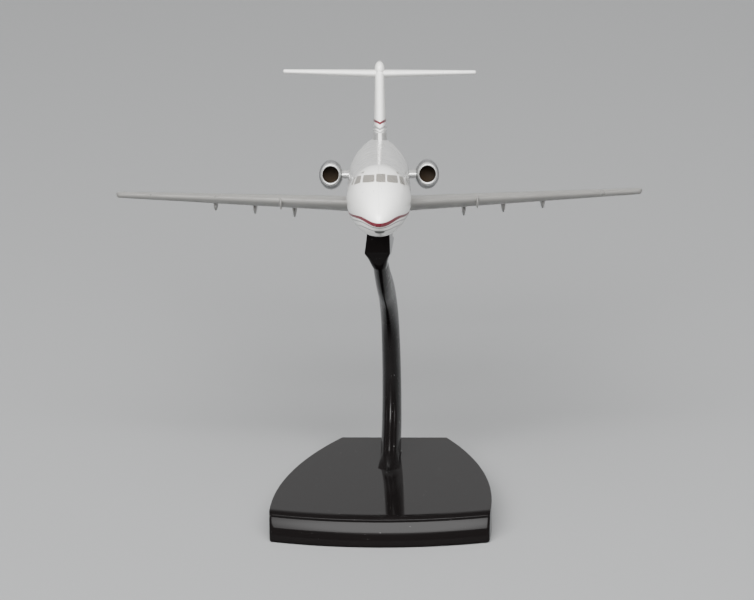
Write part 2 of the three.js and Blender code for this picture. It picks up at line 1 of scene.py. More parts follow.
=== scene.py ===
"""Looks for the desktop airliner model: smooth skins, printed livery and a gloss black stand.

All sizes are in millimetres unless a name says otherwise. The airliner's pieces are made in its own
frame, X to its left wing, Y aft from the nose tip, Z up from the fuselage middle, and then placed
on the pin with AIRFRAME. The stand's pieces are made in the part's frame, apart from its head.
"""
import bpy
import json
from math import acos, atan2, copysign, cos, exp, hypot, pi, radians, sin, sqrt, tan
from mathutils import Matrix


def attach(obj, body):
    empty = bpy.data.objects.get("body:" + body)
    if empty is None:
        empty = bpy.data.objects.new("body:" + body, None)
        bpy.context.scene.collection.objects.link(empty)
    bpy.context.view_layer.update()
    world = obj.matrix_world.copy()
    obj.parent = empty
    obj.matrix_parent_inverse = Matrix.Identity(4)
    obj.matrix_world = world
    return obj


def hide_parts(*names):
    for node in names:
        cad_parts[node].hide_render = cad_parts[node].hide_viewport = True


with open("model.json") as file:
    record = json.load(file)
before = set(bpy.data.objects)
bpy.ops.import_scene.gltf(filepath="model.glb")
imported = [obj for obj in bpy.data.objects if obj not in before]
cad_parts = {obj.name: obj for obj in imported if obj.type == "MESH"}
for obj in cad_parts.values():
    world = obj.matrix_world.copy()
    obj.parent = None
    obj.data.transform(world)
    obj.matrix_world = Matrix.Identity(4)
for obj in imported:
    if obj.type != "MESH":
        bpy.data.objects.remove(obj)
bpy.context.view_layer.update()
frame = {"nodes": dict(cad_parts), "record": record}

from types import SimpleNamespace as Sizes
from mathutils import Matrix, Vector

MM = 0.001
scene = bpy.context.scene

# ---- where the airliner sits: the pin's place and tilt come from the record ----
swivel_joint = frame["record"]["behaviour"]["joints"][0]
PIVOT = Vector(swivel_joint["pos_m"])
PIN_AXIS = Vector(swivel_joint["axis"]).normalized()
PITCH = atan2(PIN_AXIS.y, PIN_AXIS.z)
SWIVEL = radians(4.2)
PIVOT_STATION = 75
BELLY_LIFT = 9.3
SCALE = Matrix.Scale(MM, 4)
TILT = Matrix.Translation(PIVOT) @ Matrix.Rotation(-PITCH, 4, "X") @ SCALE
TURN = Matrix.Rotation(SWIVEL, 4, "Z")
AIRFRAME = TILT @ TURN @ Matrix.Translation((0, -PIVOT_STATION, BELLY_LIFT))
STAND = SCALE

# ---- airliner shape, as in the CAD ----
SIDES = ((1, "left"), (-1, "right"))
LENGTH = 182
HALF_WIDTH = 8.35
HALF_HEIGHT = 9
NOSE_TIP_Z = -4
CROWN_START = 28
BELLY_START = 20
TAPER_START = 122
CROWN_TAPER_START = 150
TAIL_HALF_WIDTH = 1.1
TAIL_TOP_Z = 6
TAIL_BOTTOM_Z = 3.2

WING = Sizes(
    start_x=6.4, root_x=8.75, tip_x=72.1, kink_x=24,
    root_lead=72.7, tip_lead=105.5, root_trail=100, kink_trail=101.5, tip_trail=112,
    root_z=-3.8, tip_z=-3.4, root_thick=4.0, tip_thick=1.7, tip_round=0.9,
    incidence=radians(6.2), shift=0, cant=0,
)
TAILPLANE = Sizes(
    start_x=0.9, root_x=1.75, tip_x=27.95, kink_x=None,
    root_lead=167.5, tip_lead=179, root_trail=181.5, kink_trail=None, tip_trail=185,
    root_z=26.6, tip_z=26.6, root_thick=2.4, tip_thick=1.25, tip_round=0.6,
    incidence=radians(3), shift=0.3, cant=0.012,
)
FIN = Sizes(
    root_z=8.1, top_z=26, root_thick=3.8, top_thick=2.8, shift=0.3,
    root_lead=139, top_lead=164.6, root_trail=176, top_trail=182.3,
)
FIN_SUNK = 0.8
BULLET = Sizes(front=166.0, back=187, radius=1.42, z=27.9, height=2.1, nose=0.16, taper=0.5)
ENGINE = Sizes(x=13.42, z=0.5, front=122.6, length=27, half_width=3.3, half_height=4.1)
ENGINE_DROOP = 0.063
LIP = Sizes(front=121, half_width=2.72, half_height=3.15, round=0.34, rim=0.93, root=1.03)
INTAKE_BORE = 2.3
INTAKE_DEPTH = 3.6
NOZZLE_RADIUS = 2.35
NOZZLE_LENGTH = 4.6
PYLON = Sizes(z=0.3, thick=3.2, front=126, back=147, inner_x=6.2, outer_x=10.9)


def mix(a, b, t):
    return a + (b - a) * t


def swell(distance, length, power):
    """Rises from 0 to 1 like a quarter of an ellipse, and stays at 1."""
    left = max(0.0, 1 - distance / length)
    return (1 - left * left) ** power


def fuselage_size(station):
    """(half width, top, bottom) of the fuselage at a station."""
    tail = max(0.0, (station - TAPER_START) / (LENGTH - TAPER_START))
    crown_tail = max(0.0, (station - CROWN_TAPER_START) / (LENGTH - CROWN_TAPER_START))
    half = HALF_WIDTH * swell(station, CROWN_START, 0.6)
    half -= (HALF_WIDTH - TAIL_HALF_WIDTH) * tail ** 1.7
    top = NOSE_TIP_Z + (HALF_HEIGHT - NOSE_TIP_Z) * swell(station, CROWN_START, 0.62)
    bottom = NOSE_TIP_Z - (HALF_HEIGHT + NOSE_TIP_Z) * swell(station, BELLY_START, 0.6)
    top -= (HALF_HEIGHT - TAIL_TOP_Z) * crown_tail ** 1.6
    bottom += (HALF_HEIGHT + TAIL_BOTTOM_Z) * tail ** 1.6
    return half, top, bottom


def fuselage_section(station):
    """(half width, middle height, half height) of the fuselage at a station."""
    half, top, bottom = fuselage_size(station)
    return half, (top + bottom) / 2, (top - bottom) / 2


def fuselage_point(station, angle):
    """A point on the fuselage: angle 0 is the crown, a quarter turn is the left side."""
    half, middle, tall = fuselage_section(station)
    return Vector((half * sin(angle), station, middle + tall * cos(angle)))


def foil(along):
    """Half thickness of a wing section, for a thickness of 1, at 0 leading to 1 trailing edge."""
    return (1.4845 * sqrt(along) - 0.63 * along - 1.758 * along ** 2 + 1.4215 * along ** 3
            - 0.48 * along ** 4)


def panel_at(panel, x):
    """(lead, trail, z, thick) of a wing-like panel at one distance out, drawn in round the tip."""
    out = (x - panel.root_x) / (panel.tip_x - panel.root_x)
    kink = panel.kink_x
    if kink is None:
        trail = mix(panel.root_trail, panel.tip_trail, out)
    elif x < kink:
        inboard = (x - panel.root_x) / (kink - panel.root_x)
        trail = mix(panel.root_trail, panel.kink_trail, inboard)
    else:
        outboard = (x - kink) / (panel.tip_x - kink)
        trail = mix(panel.kink_trail, panel.tip_trail, outboard)
    lead = mix(panel.root_lead, panel.tip_lead, out)
    thick = mix(panel.root_thick, panel.tip_thick, out)
    left = max(0.0, 1 - (panel.tip_x - x) / panel.tip_round)
    rounding = sqrt(max(0.0, 1 - left * left))
    draw = (1 - rounding) * (trail - lead) * 0.4
    z = mix(panel.root_z, panel.tip_z, out)
    return lead + draw, trail - draw * 0.5, z, thick * max(rounding, 0.05)


def panel_point(panel, side, x, along, face):
    """A point on a wing: along runs 0 to 1 from the leading edge, face is 1 on top, -1 below."""
    lead, trail, z, thick = panel_at(panel, x)
    run = (trail - lead) * along
    z += face * foil(along) * thick - run * tan(panel.incidence) - side * x * panel.cant
    return Vector((side * x + panel.shift, lead + run, z))


def around_section(half):
    """Walks round a wing-like section from its trailing edge: (along, face) of each point."""
    for i in range(2 * half):
        along = (1 + cos(pi * i / half)) / 2
        face = 0 if i % half == 0 else 1 if i < half else -1
        yield along, face


# ---- mesh helpers ----

def make_object(name, points, faces, matrix, material, smooth_angle=40):
    mesh = bpy.data.meshes.new(name)
    mesh.from_pydata([matrix @ Vector(p) for p in points], [], faces)
    mesh.validate()
    mesh.update()
    piece = bpy.data.objects.new(name, mesh)
    scene.collection.objects.link(piece)
    mesh.materials.append(material)
    turn_outward(mesh)
    mesh.polygons.foreach_set("use_smooth", [True] * len(mesh.polygons))
    mesh.set_sharp_from_angle(angle=radians(smooth_angle))
    return piece


def turn_outward(mesh):
    """Flips a closed mesh whose faces point inward."""
    volume = 0.0
    for face in mesh.polygons:
        corners = [mesh.vertices[i].co for i in face.vertices]
        for k in range(1, len(corners) - 1):
            volume += corners[0].dot(corners[k].cross(corners[k + 1]))
    if volume < 0:
        mesh.flip_normals()


def loft(name, rings, matrix, material, closed=False, smooth_angle=40):
    """A closed solid through rings of points. A closed loft joins its last ring to its first."""
    sides = len(rings[0])
    points = [p for ring in rings for p in ring]
    faces = []
    rows = len(rings) if closed else len(rings) - 1
    for row in range(rows):
        a = row * sides
        b = ((row + 1) % len(rings)) * sides
        for i in range(sides):
            j = (i + 1) % sides
            faces.append((a + i, a + j, b + j, b + i))
    if not closed:
        for ring_start in (0, (len(rings) - 1) * sides):
            centre = len(points)
            ring = points[ring_start:ring_start + sides]
            points.append(sum((Vector(p) for p in ring), Vector()) / sides)
            for i in range(sides):
                edge = (ring_start + i, ring_start + (i + 1) % sides, centre)
                faces.append(edge if ring_start else edge[::-1])
    return make_object(name, points, faces, matrix, material, smooth_angle)


PRINT_DEPTH = 0.03


def slab(name, grid, matrix, material, lift):
    """A thin closed patch on a surface. grid is rows of (point, outward normal)."""
    rows = len(grid)
    columns = len(grid[0])
    top = [p + n * lift for row in grid for p, n in row]
    under = [p - n * PRINT_DEPTH for row in grid for p, n in row]
    points = top + under
    count = rows * columns
    faces = []
    for r in range(rows - 1):
        for c in range(columns - 1):
            a = r * columns + c
            quad = (a, a + 1, a + columns + 1, a + columns)
            faces.append(quad)
            faces.append(tuple(i + count for i in reversed(quad)))
    rim = list(range(columns))
    rim += [r * columns + columns - 1 for r in range(1, rows)]
    rim += [(rows - 1) * columns + c for c in range(columns - 2, -1, -1)]
    rim += [r * columns for r in range(rows - 2, 0, -1)]
    for i, a in enumerate(rim):
        b = rim[(i + 1) % len(rim)]
        faces.append((b, a, a + count, b + count))
    return make_object(name, points, faces, matrix, material)


def evenly(first, last, count, ease=1.0):
    """Values from first to last, in a number of steps. An ease above 1 crowds them at first."""
    return [mix(first, last, (i / count) ** ease) for i in range(count + 1)]


def turns(count):
    """Angles evenly round a full turn."""
    return [2 * pi * i / count for i in range(count)]


def powered(value, power):
    """Raises the size of a value to a power, and keeps its sign."""
    return copysign(abs(value) ** power, value)


# ---- materials ----

def new_material(name, color, roughness, metallic=0.0, coat=0.0, ior=1.45):
    material = bpy.data.materials.new(name)
    material.use_nodes = True
    shader = material.node_tree.nodes["Principled BSDF"]
    settings = {
        "Base Color": (*color, 1), "Roughness": roughness, "Metallic": metallic, "IOR": ior,
        "Coat Weight": coat, "Coat Roughness": 0.06,
    }
    for setting, value in settings.items():
        shader.inputs[setting].default_value = value
    return material, shader


def add_node(tree, kind, output, inputs=None, **settings):
    """Adds a shader node. inputs gives each socket a value, or another node's output to link."""
    node = tree.nodes.new("ShaderNode" + kind)
    for setting, value in settings.items():
        setattr(node, setting, value)
    for socket, value in (inputs or {}).items():
        if isinstance(value, bpy.types.NodeSocket):
            tree.links.new(value, node.inputs[socket])
        else:
            node.inputs[socket].default_value = value
    return node.outputs[output]


def noise(tree, scale, detail=4.0, stretch=None):
    """A noise texture on the object's own coordinates, in metres."""
    place = add_node(tree, "TexCoord", "Object")
    if stretch:
        place = add_node(tree, "Mapping", "Vector", {"Vector": place, "Scale": stretch})
    return add_node(tree, "TexNoise", "Fac", {"Vector": place, "Scale": scale, "Detail": detail})


def ramp(tree, source, low, high, stops):
    """A colour ramp from a value: low and high are where its ends are, stops its two colours."""
    node = tree.nodes.new("ShaderNodeValToRGB")
    for element, position, color in zip(node.color_ramp.elements, (low, high), stops):
        element.position = position
        element.color = (*color, 1)
    tree.links.new(source, node.inputs["Fac"])
    return node.outputs["Color"]


def ranged(tree, source, low, high, first, last, interpolation="LINEAR"):
    """Maps a value's stretch from low to high onto first to last, and holds it beyond."""
    inputs = {"Value": source, "From Min": low, "From Max": high, "To Min": first, "To Max": last}
    return add_node(tree, "MapRange", "Result", inputs, interpolation_type=interpolation)


def spread(tree, source, low, high):
    """Maps a 0.3 to 0.7 noise onto the range from low to high."""
    return ranged(tree, source, 0.3, 0.7, low, high)


def mixed(tree, factor, first, second):
    """One colour where the factor is 0, another where it's 1. The sockets go by their numbers."""
    return add_node(tree, "Mix", 2, {0: factor, 6: first, 7: second}, data_type="RGBA")


def bump(tree, shader, source, strength, distance_mm):
    inputs = {"Strength": strength, "Distance": distance_mm * MM, "Height": source}
    tree.links.new(add_node(tree, "Bump", "Normal", inputs), shader.inputs["Normal"])


def painted(name, color, roughness, speck=0.0, metallic=0.0, coat=0.0, grain=0.25, ior=1.45):
    """Paint on moulded plastic: slight mottling, uneven gloss, fine orange peel and rare specks."""
    material, shader = new_material(name, color, roughness, metallic, coat, ior)
    tree = material.node_tree
    base = ramp(tree, noise(tree, 90), 0.35, 0.7, (color, [c * 0.93 for c in color]))
    if speck:
        dark = [c * 0.35 for c in color]
        edge = 1 - speck
        spots = ramp(tree, noise(tree, 1500, 2), edge, edge + 0.02, ((0, 0, 0), (1, 1, 1)))
        flat = ramp(tree, noise(tree, 20), 0, 1, (dark, dark))
        base = mixed(tree, spots, base, flat)
    tree.links.new(base, shader.inputs["Base Color"])
    rough = spread(tree, noise(tree, 260), roughness * 0.8, roughness * 1.35)
    tree.links.new(rough, shader.inputs["Roughness"])
    bump(tree, shader, noise(tree, 1600, 3), grain, 0.02)
    return material


WHITE = painted("white_lacquer", (0.8, 0.797, 0.77), 0.13, speck=0.27, coat=0.3, grain=0.12)
WING_PAINT = painted("silver_grey_paint", (0.25, 0.245, 0.233), 0.34, speck=0.26, metallic=0.5)
ENGINE_PAINT = painted("engine_grey_paint", (0.11, 0.112, 0.115), 0.3, metallic=0.4)
LIP_PAINT = painted("bright_lip_paint", (0.5, 0.5, 0.49), 0.24, metallic=0.55, speck=0.28)
FAIRING_PAINT = painted("dark_grey_paint", (0.09, 0.09, 0.09), 0.42)
INTAKE_DARK = painted("intake_dark", (0.017, 0.012, 0.0075), 0.7, ior=1.15)
NOZZLE_METAL = painted("nozzle_metal", (0.3, 0.29, 0.28), 0.32, metallic=0.8)
RED_PRINT = painted("red_print", (0.115, 0.008, 0.018), 0.3)
GREY_PRINT = painted("grey_print", (0.1, 0.103, 0.1), 0.35)
SILVER_PRINT = painted("silver_print", (0.4, 0.4, 0.39), 0.3, metallic=0.5)
GLASS_PRINT = painted("window_print", (0.16, 0.15, 0.132), 0.28)
OUTLINE_PRINT = painted("outline_print", (0.5, 0.485, 0.45), 0.35)
DARK_PRINT = painted("dark_print", (0.05, 0.05, 0.055), 0.35)
GROOVE = painted("panel_groove", (0.1, 0.1, 0.1), 0.6)

BLACK_PLASTIC = (0.0042, 0.0036, 0.0036)
DUST = (0.25, 0.25, 0.25)


def black_plastic(name, low_roughness, high_roughness, ior, ripple):
    """Polished black plastic with faint ripples, hairline scratches and a little dust."""
    material, shader = new_material(name, BLACK_PLASTIC, low_roughness, ior=ior)
    tree = material.node_tree
    dust = ramp(tree, noise(tree, 2400, 1.5), 0.775, 0.8, (BLACK_PLASTIC, DUST))
    tree.links.new(dust, shader.inputs["Base Color"])
    scratches = noise(tree, 300, 5, stretch=(1, 14, 1))
    rough = spread(tree, scratches, low_roughness, high_roughness)
    tree.links.new(rough, shader.inputs["Roughness"])
    bump(tree, shader, noise(tree, 45, 1), ripple, 0.05)
    return material


def steel():
    """Turned steel with fine lathe marks."""
    material, shader = new_material("turned_steel", (0.5, 0.5, 0.5), 0.28, metallic=1.0)
    tree = material.node_tree
    marks = noise(tree, 700, 4, stretch=(1, 1, 12))
    tone = ramp(tree, marks, 0.3, 0.7, ((0.42, 0.42, 0.42), (0.6, 0.6, 0.6)))
    tree.links.new(tone, shader.inputs["Base Color"])
    tree.links.new(spread(tree, marks, 0.2, 0.4), shader.inputs["Roughness"])
    bump(tree, shader, marks, 0.3, 0.02)
    return material


def felt():
    """Matt black felt with fine fibres."""
    material, shader = new_material("black_felt", (0.02, 0.02, 0.021), 0.95)
    tree = material.node_tree
    fibre = noise(tree, 3000, 6)
    tone = ramp(tree, fibre, 0.3, 0.7, ((0.01, 0.01, 0.01), (0.045, 0.045, 0.047)))
    tree.links.new(tone, shader.inputs["Base Color"])
    bump(tree, shader, fibre, 0.8, 0.12)
    return material


BLACK = black_plastic("black_gloss", 0.035, 0.085, 1.17, 0.12)
ARM_BLACK = black_plastic("black_gloss_arm", 0.19, 0.28, 1.24, 0.25)
STEEL = steel()
FELT = felt()


# ---- placing pieces ----

def air(piece, *nodes, slot=None):
    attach(piece, "airliner")
    if nodes:
        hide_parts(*nodes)


def air_loft(name, rings, material, *nodes, slot=None, **shape):
    """A solid that rides on the airliner, and the CAD nodes that it takes the place of."""
    air(loft(name, rings, AIRFRAME, material, **shape), *nodes, slot=slot)


def print_on(name, grid, material, lift=0.03):
    """A print or a fine line on the airliner. grid is rows of (point, outward normal)."""
    air(slab(name, grid, AIRFRAME, material, lift))


def on_stand(piece, *nodes, slot="black_gloss"):
    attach(piece, "stand")
    if nodes:
        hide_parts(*nodes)


# ---- fuselage ----

SEAM_HALF = 0.01
TAIL_CAP = 0.4


def seam_point(station, angle, side):
    """A point on one half of the fuselage, which stops just short of the seam."""
    point = fuselage_point(station, angle)
    return Vector((side * max(point.x, SEAM_HALF), point.y, point.z))


def fuselage_half(label, side):
    """One moulded half. Its points crowd towards the seam, so that the two halves look like one."""
    stations = evenly(0.002, CROWN_START, 80, 2.4)[:-1] + evenly(CROWN_START, TAPER_START, 60)[:-1]
    stations += evenly(TAPER_START, LENGTH - TAIL_CAP, 60)
    angles = [pi / 2 * (1 - cos(pi * t)) for t in evenly(0, 1, 72)]
    rings = [[seam_point(station, angle, side) for angle in angles] for station in stations]
    middle = fuselage_section(LENGTH)[1]
    last = rings[-1]
    for shrink in (0.85, 0.5, 0.1):
        y = LENGTH - TAIL_CAP * shrink
        rings.append([
            Vector((mix(side * SEAM_HALF, p.x, shrink), y, mix(middle, p.z, shrink))) for p in last
        ])
    air_loft(f"fuselage_skin_{label}", rings, WHITE, f"fuselage_{label}", slot="white_gloss")


def outline_share(x, z, station):
    """How far out a spot is in the section at a station, squared: 1 is on the skin."""
    half, middle, tall = fuselage_section(station)
    return (x / half) ** 2 + ((z - middle) / tall) ** 2


def nose_spot(x, z):
    """(station, angle) of the nose surface straight behind a spot in front view."""
    low, high = 0.03, 60.0
    for _ in range(50):
        station = (low + high) / 2
        if outline_share(x, z, station) > 1:
            low = station
        else:
            high = station
    half, middle, tall = fuselage_section(high)
    return high, atan2(x / half, (z - middle) / tall)


def nose_point(x, z):
    station, angle = nose_spot(x, z)
    return fuselage_point(station, angle)


def skin_normal(point):
    """Outward normal of the fuselage at a point on it, from the slope of its sections."""
    step = 0.02
    slope = []
    for offset in (Vector((step, 0, 0)), Vector((0, step, 0)), Vector((0, 0, step))):
        ahead, behind = point + offset, point - offset
        rise = outline_share(ahead.x, ahead.z, ahead.y) - outline_share(behind.x, behind.z, behind.y)
        slope.append(rise)
    return Vector(slope).normalized()


def skin_grid(down, across, place):
    """A grid of (point, outward normal) on the fuselage. place gives the point at (down, across)."""
    grid = []
    for t in down:
        points = [place(t, u) for u in across]
        grid.append([(point, skin_normal(point)) for point in points])
    return grid


SKIN_MARGIN = 0.985


def within_skin(x, z):
    """Draws a spot in front view in, when it is too near the fuselage's outline."""
    out = hypot(x / HALF_WIDTH, z / HALF_HEIGHT)
    draw = min(1.0, SKIN_MARGIN / out)
    return x * draw, z * draw


def squared(s, t, corner):
    """Pulls a -1..1 square's corners in, to round them."""
    pull = 1 - corner * (s * t) ** 4
    return s * pull, t * pull


def front_patch(name, corners, material, lift=0.03, grow=0.0, corner=0.06):
    """A four-cornered print on the nose. corners are (x, z) in front view, from top left round."""
    middle = sum((Vector(c) for c in corners), Vector((0, 0))) / 4
    wide = [Vector(c) + (Vector(c) - middle).normalized() * grow for c in corners]

    def place(t, u):
        right, down = squared(u, t, corner)
        top = wide[0].lerp(wide[1], (right + 1) / 2)
        low = wide[3].lerp(wide[2], (right + 1) / 2)
        spot = top.lerp(low, (down + 1) / 2)
        return nose_point(*within_skin(spot.x, spot.y))

    grid = skin_grid(evenly(-1, 1, 10), evenly(-1, 1, 10), place)
    print_on(name, grid, material, lift)


COCKPIT_SHIFT = 0.56
COCKPIT_REACH = 9
COCKPIT_TILT = 0.03
CENTRE_PANE = [(-1.14, 7.24), (1.14, 7.24), (1.2, 5.46), (-1.2, 5.46)]
COCKPIT_PANES = {
    "inner": [(1.6, 7.07), (4.25, 6.7), (4.55, 5.05), (1.6, 5.5)],
    "outer": [(4.78, 6.52), (5.85, 6.1), (6.6, 4.14), (5.08, 4.96)],
    "rear": [(6.13, 5.94), (6.5, 5.55), (7.2, 3.84), (6.9, 4.04)],
    "eyebrow": [(4.0, 7.5), (4.65, 7.15), (5.0, 6.82), (4.3, 7.08)],
}


def turned(x, z):
    """Where a cockpit print ends up: the whole print sits slightly round to the left."""
    return x + COCKPIT_SHIFT * (1 - (x / COCKPIT_REACH) ** 2), z - COCKPIT_TILT * x


def cockpit():
    """The printed windscreen: a centre pane and, on each side, three panes and an eyebrow."""
    panes = {"centre": CENTRE_PANE}
    for side, label in SIDES:
        for pane, corners in COCKPIT_PANES.items():
            panes[f"{pane}_{label}"] = [(side * x, z) for x, z in corners]
    for label, corners in panes.items():
        spots = [turned(x, z) for x, z in corners]
        front_patch(f"cockpit_pane_outline_{label}", spots, OUTLINE_PRINT, lift=0.02, grow=0.1)
        front_patch(f"cockpit_pane_{label}", spots, GLASS_PRINT)


def band(name, line, material):
    """A print that follows a line on the fuselage. line is (station, angle low, angle high)."""
    def place(spot, t):
        station, low, high = spot
        return fuselage_point(station, mix(low, high, t))
    print_on(name, skin_grid(line, evenly(0, 1, 4), place), material)


def angle_at(station, side, z):
    """The angle on the fuselage's left or right side where it has this height."""
    middle, tall = fuselage_section(station)[1:]
    return side * acos(max(-1.0, min(1.0, (z - middle) / tall)))


STRIPE_CENTRE = 0.21
STRIPE_LOW = -4.79
STRIPE_SIDE = -3.2
STRIPE_RISE = 5.6
STRIPE_REACH = 6.6


def stripe_front(x):
    """Middle height of the red stripe in front view: a shallow smile under the nose tip."""
    away = min(1.0, abs(x - STRIPE_CENTRE) / STRIPE_RISE)
    return mix(STRIPE_LOW, STRIPE_SIDE, ((1 - cos(pi * away)) / 2) ** 1.3)


def front_line(name, material, height, half):
    """A print across the front of the nose. height and half give its middle and half width at x."""
    def place(x, t):
        return nose_point(x, height(x) + t * half(x))
    grid = skin_grid(evenly(-STRIPE_REACH, STRIPE_REACH, 120), evenly(-1, 1, 6), place)
    print_on(name, grid, material)


STRIPE_END = 160


def cheat_stripes():
    """The red stripe and two fine grey lines: round the nose, then level along both sides."""
    def red_half(x):
        away = abs(x - STRIPE_CENTRE) / STRIPE_REACH
        return 0.32 + 0.22 * cos(pi / 2 * min(1, away))
    plans = (
        ("red_stripe", RED_PRINT, 0.0, 0.0, red_half),
        ("grey_line_upper", GREY_PRINT, -0.8, -0.35, lambda x: 0.1),
        ("grey_line_lower", GREY_PRINT, -1.75, -0.95, lambda x: 0.08),
    )
    for name, material, drop, drop_growth, half in plans:
        def height(x, drop=drop, drop_growth=drop_growth):
            return stripe_front(x) + drop + drop_growth * (x / STRIPE_REACH) ** 2
        front_line(f"{name}_front", material, height, half)
        for side, label in SIDES:
            z = height(side * STRIPE_REACH)
            start = nose_spot(side * STRIPE_REACH, z)[0]
            thin = half(side * STRIPE_REACH)
            line = []
            for station in evenly(start, STRIPE_END, 120, 1.3):
                width = thin + 0.12 * min(1.0, (station - start) / 60)
                low = angle_at(station, side, z - width)
                high = angle_at(station, side, z + width)
                line.append((station, low, high))
            band(f"{name}_{label}", line, material)


CABIN_WINDOWS = Sizes(count=34, first=34, pitch=2.75, z=1.45, half_length=0.42, half_height=0.62)


def cabin_windows():
    """The rows of printed cabin windows, and the outlines of the doors."""
    for side, label in SIDES:
        for i in range(CABIN_WINDOWS.count):
            station = CABIN_WINDOWS.first + i * CABIN_WINDOWS.pitch
            cabin_window(f"cabin_window_{label}_{i + 1:02d}", side, station)
        for name, station in (("front", 25.5), ("rear", 127.5)):
            door_outline(f"door_{name}_{label}", side, station, 0.4, 2.1, 4.3)
    door_outline("cargo_door", -1, 52, -5.2, 3.2, 2.0)


def cabin_window(name, side, station):
    def place(t, u):
        ahead, up = squared(u, t, 0.22)
        at = station + ahead * CABIN_WINDOWS.half_length
        z = CABIN_WINDOWS.z + up * CABIN_WINDOWS.half_height
        return fuselage_point(at, angle_at(at, side, z))
    grid = skin_grid(evenly(-1, 1, 4), evenly(-1, 1, 4), place)
    print_on(name, grid, DARK_PRINT, lift=0.02)


DOOR_LINE_HALF = 0.07
DOOR_LIFT = 0.02
DOOR_SQUARENESS = 0.4


def door_outline(name, side, station, z, half_length, half_height):
    """A fine printed frame with round corners."""
    near, far = -DOOR_LINE_HALF, DOOR_LINE_HALF
    profile = ((near, -DOOR_LIFT), (near, DOOR_LIFT), (far, DOOR_LIFT), (far, -DOOR_LIFT))
    rings = []
    for turn in turns(48):
        across = powered(cos(turn), DOOR_SQUARENESS)
        up = powered(sin(turn), DOOR_SQUARENESS)
        ring = []
        for grow, lift in profile:
            at = station + across * (half_length + grow)
            point = fuselage_point(at, angle_at(at, side, z + up * (half_height + grow)))
            ring.append(point + skin_normal(point) * lift)
        rings.append(ring)
    air_loft(name, rings, GREY_PRINT, closed=True)


def belly_mark():
    corners = [(-1.2, -6.5), (1.55, -6.5), (1.2, -7.25), (-0.85, -7.25)]
    front_patch("belly_mark", corners, GREY_PRINT, corner=0.2)


# ---- wings and tail ----

TIP_GAP = 0.01
SECTION_HALF = 36
LINE_HALF = 0.07
LINE_LIFT = 0.012


def panel_solid(name, panel, side, material, node, slot):
    """A wing or half of the tailplane, with a rounded tip."""
    corner = panel.tip_x - panel.tip_round
    middle = panel.kink_x or mix(panel.root_x, panel.tip_x, 0.4)
    spans = evenly(panel.start_x, middle, 10)[:-1] + evenly(middle, corner, 24)[:-1]
    spans += evenly(corner, panel.tip_x - TIP_GAP, 12, 0.6)
    rings = [
        [panel_point(panel, side, x, along, face) for along, face in around_section(SECTION_HALF)]
        for x in spans
    ]
    air_loft(name, rings, material, node, slot=slot)


def wing_line(name, panel, side, start, end, face=1):
    """A fine line on a wing from one (x, along) to another."""
    runs_outward = abs(end[0] - start[0]) > 1
    grid = []
    for t in evenly(0, 1, 40):
        x = mix(start[0], end[0], t)
        along = mix(start[1], end[1], t)
        lead, trail = panel_at(panel, x)[:2]
        row = []
        for offset in (-LINE_HALF, LINE_HALF):
            if runs_outward:
                point = panel_point(panel, side, x, along + offset / (trail - lead), face)
            else:
                point = panel_point(panel, side, x + offset, along, face)
            row.append((point, Vector((0, 0, face))))
        grid.append(row)
    print_on(name, grid, GROOVE, LINE_LIFT)


def wing_details(side, label):
    """Hinge lines of the flaps, the aileron, the spoilers and the slats, top and bottom."""
    for face, where in ((1, "top"), (-1, "under")):
        plan = {
            "flap_front": ((9.2, 0.76), (50, 0.76)),
            "flap_split": ((30, 0.76), (30.01, 0.99)),
            "flap_end": ((50, 0.76), (50.01, 0.99)),
            "aileron_front": ((50.6, 0.78), (68.5, 0.78)),
            "aileron_end": ((68.5, 0.78), (68.51, 0.99)),
            "slat_back": ((12, 0.13), (70, 0.16)),
        }
        if face > 0:
            plan["spoiler_front"] = ((26, 0.64), (44, 0.64))
            plan["spoiler_inner"] = ((26, 0.64), (26.01, 0.76))
            plan["spoiler_outer"] = ((44, 0.64), (44.01, 0.76))
        for line, (start, end) in plan.items():
            wing_line(f"wing_{line}_{where}_{label}", WING, side, start, end, face)
    wing_line(f"tailplane_elevator_top_{label}", TAILPLANE, side, (1.8, 0.7), (26, 0.7))
    wing_line(f"tailplane_elevator_under_{label}", TAILPLANE, side, (1.8, 0.7), (26, 0.7), face=-1)


FILLET = Sizes(x=8.0, middle=0.4, bead=0.34, flatten=0.1, points=96, bead_points=10)


def root_fillet(side, label):
    """The bead of white paint where a wing meets the fuselage."""
    bead = FILLET.bead
    centre = panel_point(WING, side, FILLET.x, FILLET.middle, 0)
    rings = []
    for i, angle in enumerate(turns(FILLET.points)):
        face = 1 if i < FILLET.points / 2 else -1
        edge = panel_point(WING, side, FILLET.x, (1 + cos(angle)) / 2, face)
        out = edge - centre
        out.x = 0
        out.y *= FILLET.flatten
        out = out.normalized() if out.length else Vector((0, 1, 0))
        skin_x = side * fuselage_half_width_at(edge)
        ring = []
        for turn in turns(FILLET.bead_points):
            place = Vector((skin_x + side * bead * cos(turn), edge.y, edge.z))
            ring.append(place + out * bead * sin(turn))
        rings.append(ring)
    air_loft(f"wing_root_fillet_{label}", rings, WHITE, closed=True)


def fuselage_half_width_at(point):
    """The fuselage's half width at a point's station and height."""
    half, middle, tall = fuselage_section(point.y)
    level = (point.z - middle) / tall
    return half * sqrt(max(0.0, 1 - level * level))


def fin_point(side, z, along):
    up = (z - FIN.root_z) / (FIN.top_z - FIN.root_z)
    lead = mix(FIN.root_lead, FIN.top_lead, up)
    trail = mix(FIN.root_trail, FIN.top_trail, up)
    thick = mix(FIN.root_thick, FIN.top_thick, up)
    return Vector((FIN.shift + side * foil(along) * thick, mix(lead, trail, along), z))


def fin():
    rings = [
        [fin_point(side, z, along) for along, side in around_section(SECTION_HALF)]
        for z in evenly(FIN.root_z - FIN_SUNK, BULLET.z, 60)
    ]
    air_loft("fin_skin", rings, WHITE, "tail_fin", slot="white_gloss")


